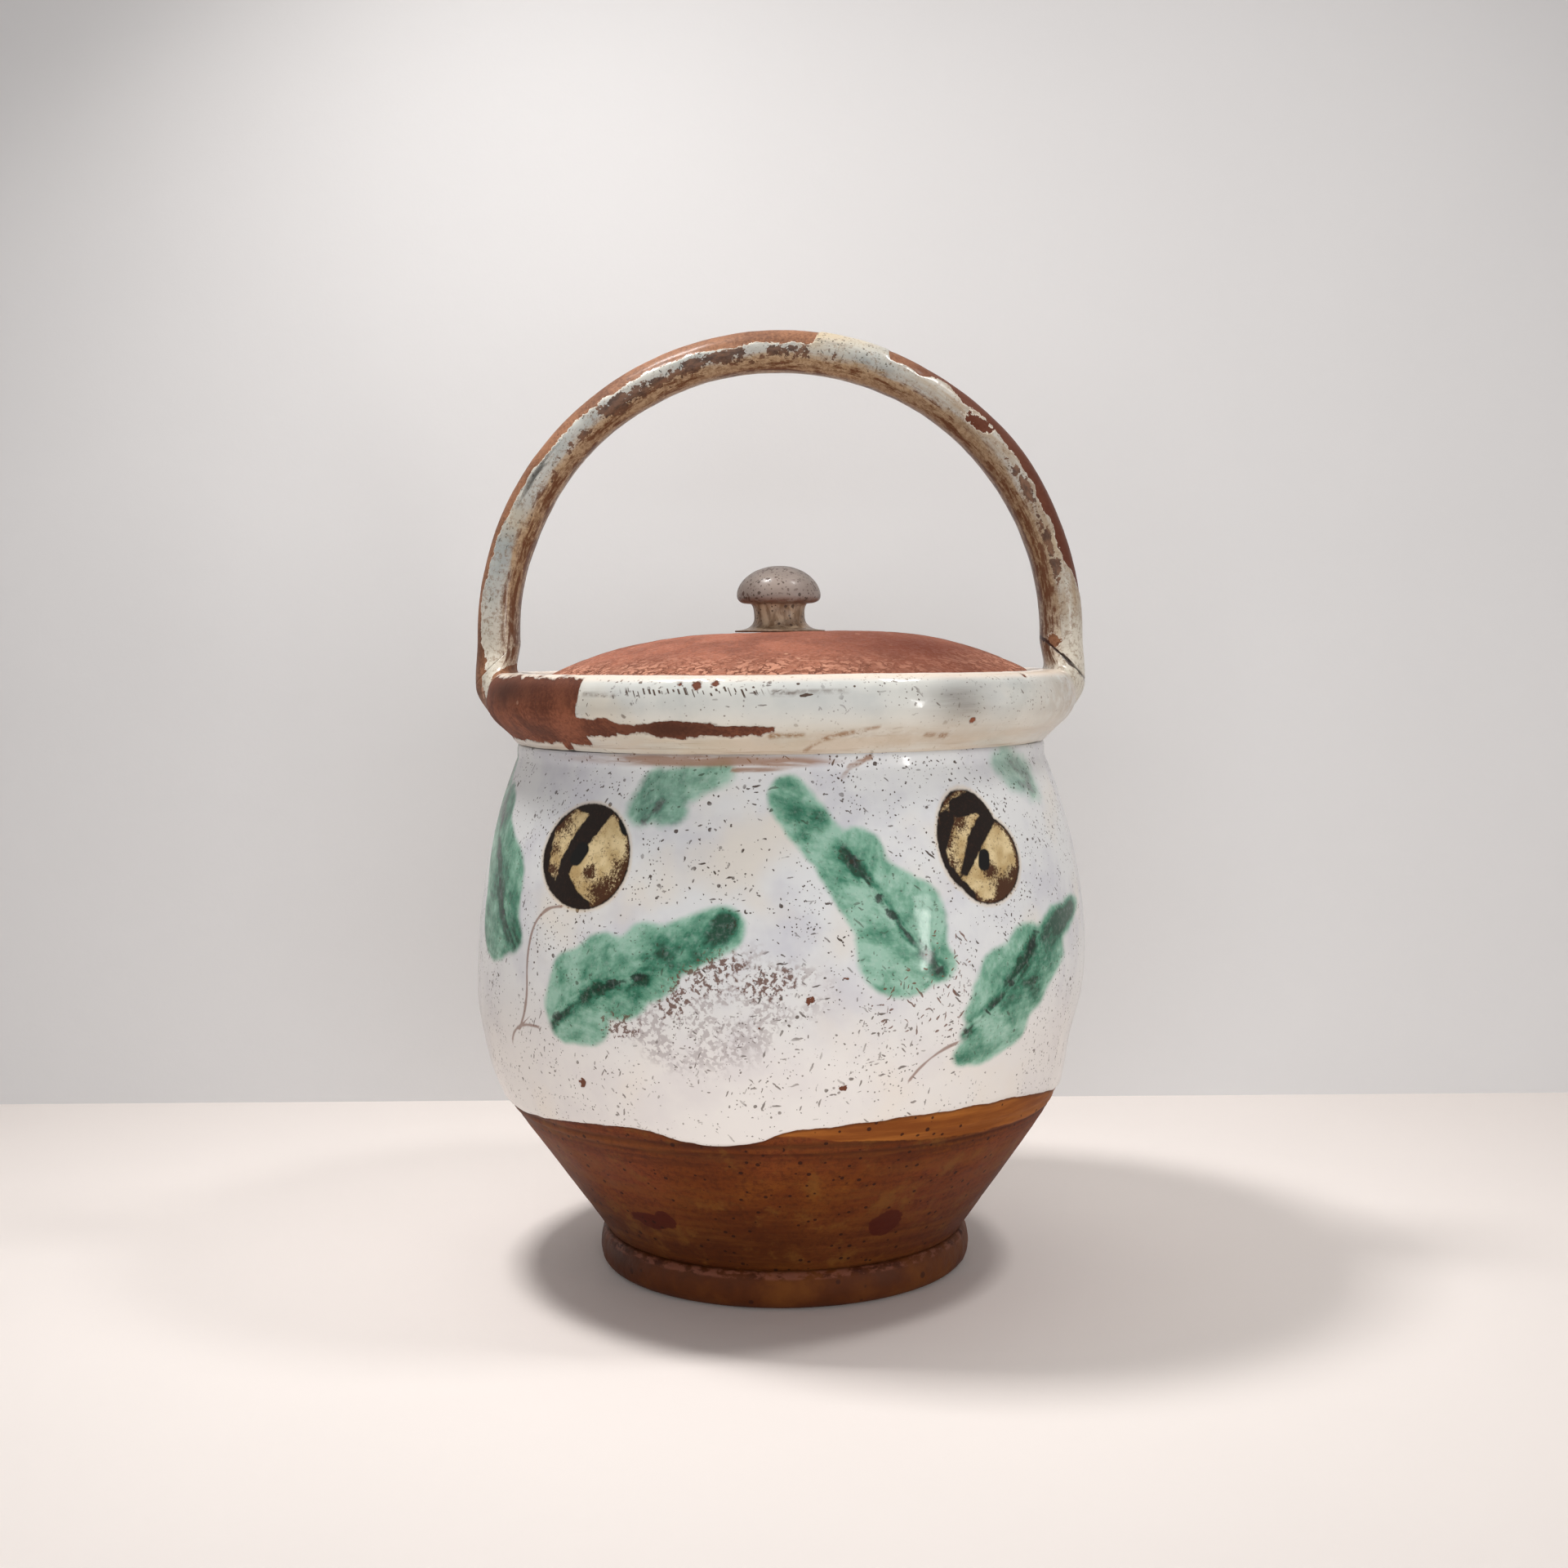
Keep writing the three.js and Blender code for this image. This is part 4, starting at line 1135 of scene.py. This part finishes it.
def handleMaterial():
    material, place = newMaterial("wornHandle")
    field = place.field
    straight = field("straight", "Vector")
    inner = field("inner")
    ends = field("ends")
    rightSide = field("rightSide")
    streak = straight.stretch(0.22, 1.0, 1.0).noise(4, 5, 0.7)
    lines = straight.stretch(0.12, 1.0, 1.0).noise(1.9, 5, 0.78)
    mottle = straight.stretch(0.5, 1.0, 1.0).noise(2.2, 4, 0.7)
    cold = {"base": tone(180, 178, 170), "cloud": tone(146, 151, 148), "warm": tone(182, 166, 140)}
    coat, marks = place.through(glazeGroup, amount=0.85, speck=tone(52, 44, 38), **cold)

    # warmth on the inner side and the feet, then grime, brown lines and soot
    grime = inner * 0.10 + place.noise(1.5, 5, 0.78) + ends * 0.04
    brown = inner * 0.13 + (ends * 0.07 + lines) + (mottle - 0.5) * 0.6
    brown = brown.ease(0.60, 0.74) * inner.ease(0.0, 0.6)
    coat = coat.layers(
        ((inner * 0.55 + streak).ease(0.58, 0.92) * 0.85, 170, 140, 102),
        (field("feet") * 0.75, 206, 196, 178),
        # the right side of the bar darker: dirt and painted shade
        (rightSide * streak.ease(0.36, 0.62, 0.25, 0.85), 146, 124, 98),
        (grime.ease(0.52, 0.68, 0.0, 0.65), 118, 88, 62),
        (brown * 0.92, 92, 54, 32),
        (field("soot") * lines.ease(0.42, 0.58) * 0.9, 40, 37, 34),
    )

    # stained patches, bare clay and the crack at the right joint
    stain, _ = place.through(flakeGroup, distance=field("stainGap"), ragged=7.5)
    bare, lip = place.through(flakeGroup, distance=field("bareGap"), ragged=3.4)
    fired, grain = place.through(clayGroup, light=tone(142, 99, 72), dark=tone(96, 61, 42), pits=0.35)
    crack = (place.drift(5, 4, 0.6) * 4.5 + field("seamGap")).ease(1.0, 0.5)
    coat = coat.tint(stain * 0.92, mottle.ease(0.35, 0.65).pick(tone(66, 42, 32), tone(114, 80, 60)))
    coat = coat.tint(lip * 0.75, tone(220, 210, 193))
    # bare clay on the right side darker: dirt and painted shade
    coat = coat.tint(bare, fired.tint(rightSide * 0.85, tone(78, 34, 20)))
    coat = coat.tint(crack * 0.95, tone(50, 24, 18))
    rubbed = bare | stain * 0.8
    height = (grain * 0.3 - 1.0) * bare + streak * 0.3
    return dress(material, {
        "Base Color": coat, "Coat Roughness": 0.22,
        "Coat Weight": (1.0 - (rubbed | marks * 0.8)) * 0.4 + 0.12, "Roughness": rubbed.ease(0, 1, 0.42, 0.6),
        "Normal": height.relief(0.35, 0.75),
    })


handleFinish = handleMaterial()
fitPiece(makeHandle(), "pot", "handle_arch", handleFinish)


# Pads that hold the handle on the rim

padShape = {"spread": 21, "upper": 18.1, "lower": 10.85, "sink": 0.5, "skirtRows": 26, "underRows": 6,
            "pull": 0.9, "dripWaves": [(0.4, 6, 91, 3)]}
# White glaze that ran down over the left pad: height, left edge and right edge in the view from the front
padDrip = [(196.0, -99.2, -98.2), (203.5, -101.5, -96.8), (206.0, -103.0, -92.0), (209.0, -105.0, -84.0)]


def rimPoint(along, across, side):
    # a point on the rim: along is millimetres of outline up from its widest, across is millimetres round it
    outside, _ = rimOutlines()
    length = runLength(outside)
    at = np.clip(length[np.argmax(outside[:, 0])] + along, 0, length[-1])
    turn = across / nodeSpan("rim_collar")[1][0]
    out = np.stack([side * np.cos(turn), -np.sin(turn), np.zeros_like(turn)], -1)
    up = np.array([0, 0, 1.0])

    def placed(pairs):
        flat, rise = (np.interp(at, length, pairs[:, k])[..., None] for k in (0, 1))
        return out * flat + up * rise

    return placed(outside), placed(outlineNormals(outside, False))


def makePad(name, side):
    around = np.linspace(0, 2 * math.pi, handleShape["sides"], endpoint=False)
    joint = jointAlong(around, side)
    start = barSection(joint, around)
    onward = barSection(joint + side * np.degrees(0.5 / handleShape["radius"]), around) - start
    onward /= np.linalg.norm(onward, axis=-1)[:, None]
    middle = (padShape["upper"] - padShape["lower"]) / 2
    half = (padShape["upper"] + padShape["lower"]) / 2

    def onRim(scale):
        # the skirt's edge: out over the front and back, up onto the crown and down to the undercut
        along = middle - half * scale * np.cos(around)
        return rimPoint(along, padShape["spread"] * scale * np.sin(around), side)

    def sunk(scale):
        point, normal = onRim(scale)
        return point - normal * padShape["sink"]

    end = sunk(1)
    outward = onRim(1.06)[0] - onRim(1)[0]
    outward /= np.maximum(np.linalg.norm(outward, axis=-1), 1e-6)[:, None]
    reach = np.linalg.norm(end - start, axis=-1)[:, None]
    first, last, rise, land = smoothSteps(np.linspace(0, 1, padShape["skirtRows"])[:, None, None])
    skirt = first * start + last * end + (rise * onward + land * outward) * reach * padShape["pull"]
    under = [sunk(scale) for scale in np.linspace(1, 0, padShape["underRows"])[1:]]
    face = start.mean(0) * np.ones_like(start)
    grid = np.concatenate([face[None], skirt, np.stack(under)])
    lengths = np.linspace(0, 1, len(grid))[:, None] * np.degrees(reach[:, 0] / handleShape["radius"])
    along = joint + side * lengths
    fields = barFields(along, np.broadcast_to(around, along.shape), grid)
    x, height = grid[..., 0], grid[..., 2]
    if side < 0:
        level, leftEdge, rightEdge = np.array(padDrip).T
        drip = np.minimum(x - np.interp(height, level, leftEdge), np.interp(height, level, rightEdge) - x)
        fields["bareGap"] = np.minimum(drip, height - level[0]) + uneven(grid, padShape["dripWaves"])
    fields["inner"] = fields["inner"] * ease(201, 210, height)
    return meshPiece(name, grid, False, fields, flip=side < 0)


fitPiece(makePad("pad_left", -1), "pot", "handle_pad_left", handleFinish)
fitPiece(makePad("pad_right", 1), "pot", "handle_pad_right", handleFinish)


# Lid

lidShape = {"knobSeat": 15.5, "drop": 15.5, "thickness": 6, "seatWidth": 6, "domePower": 2.5,
            "edgeRound": 1.6, "columns": 400, "spacing": 0.95, "underSpacing": 3, "tilt": 0.021,
            "roughFrom": 211, "roughTo": 204, "grain": (3.4, 101), "grainDepth": 0.06, "roughDepth": 0.30,
            "waves": [(0.25, 24, 103, 1), (0.07, 5, 105, 3)]}


def makeLid():
    low, high = nodeSpan("lid_dome")
    bottom, crown, radius = low[2], high[2], high[0]
    underCrown = crown - lidShape["thickness"]
    seat = radius - lidShape["seatWidth"]
    share = np.linspace(0, 1, 60)
    fall = share ** lidShape["domePower"]
    under = np.column_stack([seat * share, underCrown - (underCrown - bottom) * fall])
    domeAt = lidShape["knobSeat"] + (radius - lidShape["knobSeat"]) * share
    dome = np.column_stack([domeAt, crown - lidShape["drop"] * fall])[::-1]
    edge = radius - lidShape["edgeRound"]
    turnUp = bend((edge, bottom), (radius, bottom), (radius, bottom + lidShape["edgeRound"]), 6)
    turnIn = dome[dome[:, 0] < edge]
    corner = bend(turnUp[-1], (radius, dome[0, 1]), turnIn[0], 8)
    outline = joinOutlines(
        evenly(under, lidShape["underSpacing"]),
        evenly(np.vstack([[under[-1]], turnUp, corner]), 1.1),
        evenly(turnIn, lidShape["spacing"]),
        evenly([turnIn[-1], (0, crown)], 4),
    )
    points, normals, degrees = turnedGrid(outline, lidShape["columns"], False)
    top = ease(bottom + 1.5, bottom + 6, points[..., 2]) * ease(-0.2, 0.3, normals[..., 2])
    tilt = lidShape["tilt"] * points[..., 0] * top
    rough = ease(lidShape["roughFrom"], lidShape["roughTo"], points[..., 2]) * top
    rough = rough * (1 - 0.75 * bump(degrees, 40, 26))
    free = ease(lidShape["knobSeat"] + 1.0, lidShape["knobSeat"] + 6, fromAxis(points))
    grain = np.minimum(layeredNoise(points * (1, 1, 2.5), *lidShape["grain"]), 0.15)
    grain = grain * (lidShape["grainDepth"] + lidShape["roughDepth"] * rough)
    offset = uneven(points, lidShape["waves"]) + grain
    points = points + normals * (offset * top * free)[..., None]
    points[..., 2] += tilt
    redder = bump(points[..., 0], 48, 33) * bump(points[..., 1], -45, 32) * top
    return meshPiece("lid", points, False, {"rough": rough, "redder": redder})


def lidMaterial():
    material, place = newMaterial("lidClay")
    worn = place.field("rough")
    coat, grain = place.through(clayGroup, light=tone(154, 96, 75), dark=tone(116, 68, 52), pits=0.3)
    smear = place.stretch(0.5, 0.5, 1.0).noise(21, 3, 0.6).ease(0.56, 0.70, 0.0, 0.5)
    ridges = abs(place.wobble(2.5, 1.8).stretch(0.6, 0.8, 1.0).drift(2.4, 3, 0.6))
    rough = worn * place.noise(5, 3, 0.6).ease(0.34, 0.56)
    coat = coat.layers(
        (place.field("redder") * 0.9, 92, 41, 25),
        (smear, 100, 56, 42),
        (worn * 0.35, 182, 124, 98),
        # painted highlight: the raised grain of the worn front painted paler
        (rough * ridges.ease(0.04, 0.09) * 0.55, 212, 154, 126),
        # painted shade: the low cracks between the grain painted darker
        (rough * ridges.ease(0.030, 0.008) * 0.8, 86, 42, 29),
    )
    height = ridges.ease(0.0, 0.06) * rough * 1.2 + grain
    return dress(material, {
        "Base Color": coat, "Roughness": ridges.ease(0.0, 0.1, 0.82, 0.62),
        "Normal": height.relief(0.5, 0.85),
    })


fitPiece(makeLid(), "lid", "lid_dome", lidMaterial())


# Knob

knobShape = {"headRadius": 14.4, "headHeight": 12.9, "headRound": 2.7, "waist": 8.6, "baseLip": 0.6,
             "headPower": 1.9, "columns": 128, "spacing": 0.4, "lean": -0.02,
             "waves": [(0.22, 11, 111, 1), (0.06, 4, 113, 3)]}


def makeKnob():
    low, high = nodeSpan("lid_knob")
    bottom, top, base = low[2], high[2], high[0]
    head = knobShape["headRadius"]
    waist = knobShape["waist"]
    lip = bottom + knobShape["baseLip"]
    headBottom = top - knobShape["headHeight"]
    widest = headBottom + knobShape["headRound"]
    waistHeight = (bottom + headBottom) / 2
    underHead = (waist + 1.4, headBottom - 0.1)
    turn = np.linspace(0, math.pi / 2, 40)
    power = 2 / knobShape["headPower"]
    dome = np.column_stack([head * np.cos(turn) ** power, widest + (top - widest) * np.sin(turn) ** power])
    dome[-1, 0] = 0
    outline = joinOutlines(
        evenly([(0, bottom), (base - 0.4, bottom)], 3),
        evenly(np.vstack([
            bend((base - 0.4, bottom), (base + 0.1, bottom), (base, lip), 6),
            bend((base, lip), (waist + 0.3, lip), (waist, waistHeight)),
            bend((waist, waistHeight), (waist, headBottom - 0.4), underHead, 8),
            bend(underHead, (head, headBottom - 0.2), (head, widest)),
            dome,
        ]), knobShape["spacing"]),
    )
    points, normals, _ = turnedGrid(outline, knobShape["columns"], False)
    free = ease(bottom + 0.4, bottom + 2.5, points[..., 2])
    offset = free * uneven(points, knobShape["waves"])
    points = points + normals * offset[..., None]
    height = points[..., 2]
    points[..., 0] += knobShape["lean"] * (height - bottom) * free
    fields = {
        "neck": ease(headBottom + 1.0, headBottom - 1.0, height), "edge": bump(height, headBottom + 0.3, 1.1),
        "skirt": ease(bottom + 1.6, bottom + 0.5, height),
    }
    return meshPiece("knob", points, False, fields)


def knobMaterial():
    material, place = newMaterial("knobGlaze")
    field = place.field
    grey = {"base": tone(146, 133, 125), "cloud": tone(124, 112, 104), "warm": tone(154, 134, 116)}
    coat, marks = place.stretch(0.85, 0.85, 0.85).through(glazeGroup, amount=1.3, **grey)
    runs = place.stretch(1.0, 1.0, 0.3).noise(2.6, 4, 0.65).ease(0.38, 0.62)
    neck = field("neck") * place.noise(5, 3).ease(0.25, 0.6, 0.55, 0.95)
    thin = field("edge") * place.noise(3, 4, 0.65).ease(0.36, 0.58, 0.2, 0.8)
    dots = specks(place.wobble(2, 1.2), 1.25, 0.9) | specks(place, 2.3, 0.8)
    coat = coat.tint(neck, runs.pick(tone(124, 97, 73), tone(178, 153, 126)))
    coat = coat.layers(
        (thin, 106, 70, 52),
        (dots * 0.85, 72, 58, 50),
        (field("skirt") * 0.5, 120, 100, 84),
    )
    return dress(material, {
        "Base Color": coat, "Coat Roughness": 0.2,
        "Coat Weight": 0.2 - marks * 0.18, "Roughness": field("neck").ease(0, 1, 0.45, 0.38),
        "Normal": place.noise(3, 3).relief(0.2, 0.5),
    })


fitPiece(makeKnob(), "lid", "lid_knob", knobMaterial())


# Table, wall and light

stageSizes = {"wallDistance": 0.236, "width": 4.0, "wallHeight": 2.4}


def flatSheet(name, corners, material):
    mesh = bpy.data.meshes.new(name)
    mesh.from_pydata(corners, [], [(0, 1, 2, 3)])
    mesh.materials.append(material)
    sheet = bpy.data.objects.new(name, mesh)
    bpy.context.scene.collection.objects.link(sheet)


def paleMaterial(name, shade):
    material, place = newMaterial(name)
    darker = (*[level * 0.97 for level in shade[:3]], 1.0)
    return dress(material, {
        "Base Color": place.noise(90, 3).pick(shade, darker), "Roughness": 0.7, "Specular IOR Level": 0.2,
        "Normal": place.noise(9, 4, 0.6).relief(0.5, 0.25),
    })


def seeThroughBack(material):
    # the wall isn't in the way of a camera behind it
    tree = material.node_tree
    side = Shade(addNode(tree, "NewGeometry", {}).outputs["Backfacing"])
    front = Shade(tree.nodes["Principled BSDF"].outputs[0])
    clear = side.node("BsdfTransparent", {})
    fill(tree.nodes["Material Output"], {"Surface": side.node("MixShader", {0: side, 1: front, 2: clear})})
    return material


def makeStage():
    half, back, high = stageSizes["width"] / 2, stageSizes["wallDistance"], stageSizes["wallHeight"]
    floor = [(-half, -half, 0), (half, -half, 0), (half, half, 0), (-half, half, 0)]
    wall = [(-half, back, 0), (half, back, 0), (half, back, high), (-half, back, high)]
    flatSheet("table", floor, paleMaterial("tableTop", tone(244, 236, 231)))
    flatSheet("wall", wall, seeThroughBack(paleMaterial("wallPaint", tone(211, 209, 208))))


# A lamp that only fills isn't seen as a patch in the glaze
lamps = {
    "keyLamp": {"at": (-0.19, -0.01, 0.72), "aim": (0.0, -0.04, 0.0), "size": (0.10, 0.10), "spread": 120,
                "power": 1.45, "shade": (1.0, 0.985, 0.97), "glossy": True},
    "secondLamp": {"at": (0.30, -0.08, 0.76), "aim": (0.0, -0.04, 0.0), "size": (0.10, 0.10), "spread": 120,
                   "power": 0.62, "shade": (1.0, 0.985, 0.97), "glossy": True},
    "frontFill": {"at": (0.05, -1.5, 0.26), "aim": (0.0, 0.0, 0.10), "size": (1.4, 0.5), "spread": 180,
                  "power": 10.8, "shade": (0.97, 1.0, 1.04), "glossy": False},
    "sideWindow": {"at": (1.05, -0.86, 0.16), "aim": (0.0, 0.0, 0.12), "size": (0.10, 0.34), "spread": 180,
                   "power": 2.1, "shade": (1.0, 0.98, 0.96), "glossy": True},
}
room = {"shade": tone(240, 237, 235), "light": 0.24, "seen": 0.9}


def makeLights():
    for name, lamp in lamps.items():
        data = bpy.data.lights.new(name, "AREA")
        data.shape = "RECTANGLE"
        data.size, data.size_y = lamp["size"]
        data.energy = lamp["power"]
        data.spread = math.radians(lamp["spread"])
        data.color = lamp["shade"]
        light = bpy.data.objects.new(name, data)
        light.visible_glossy = lamp["glossy"]
        away = Vector(lamp["at"]) - Vector(lamp["aim"])
        turn = away.to_track_quat("Z", "Y").to_matrix().to_4x4()
        light.matrix_world = Matrix.Translation(lamp["at"]) @ turn
        bpy.context.scene.collection.objects.link(light)
    world = bpy.data.worlds.new("room")
    world.use_nodes = True
    rays = addNode(world.node_tree, "LightPath", {}).outputs
    camera, glossy, clear = (Shade(rays[f"Is {kind} Ray"]) for kind in ("Camera", "Glossy", "Transmission"))
    strength = (camera | glossy | clear).ease(0, 1, room["light"], room["seen"])
    fill(world.node_tree.nodes["Background"], {"Color": room["shade"], "Strength": strength})
    bpy.context.scene.world = world


cameraView = {"place": (0.00098, -0.685, 0.2126), "pitchDown": 0.07025, "roll": -0.00751, "lens": 45.707,
              "sensor": 36}


def makeCamera():
    data = bpy.data.cameras.new("photoCamera")
    data.lens = cameraView["lens"]
    data.sensor_width = cameraView["sensor"]
    data.clip_start = 0.01
    camera = bpy.data.objects.new("photoCamera", data)
    level = Matrix.Rotation(math.pi / 2 - cameraView["pitchDown"], 4, "X")
    roll = Matrix.Rotation(cameraView["roll"], 4, "Z")
    camera.matrix_world = Matrix.Translation(cameraView["place"]) @ level @ roll
    bpy.context.scene.collection.objects.link(camera)
    bpy.context.scene.camera = camera


makeStage()
makeLights()
makeCamera()
bpy.context.scene.view_settings.view_transform = "Standard"
print("table, wall, lights and camera made")
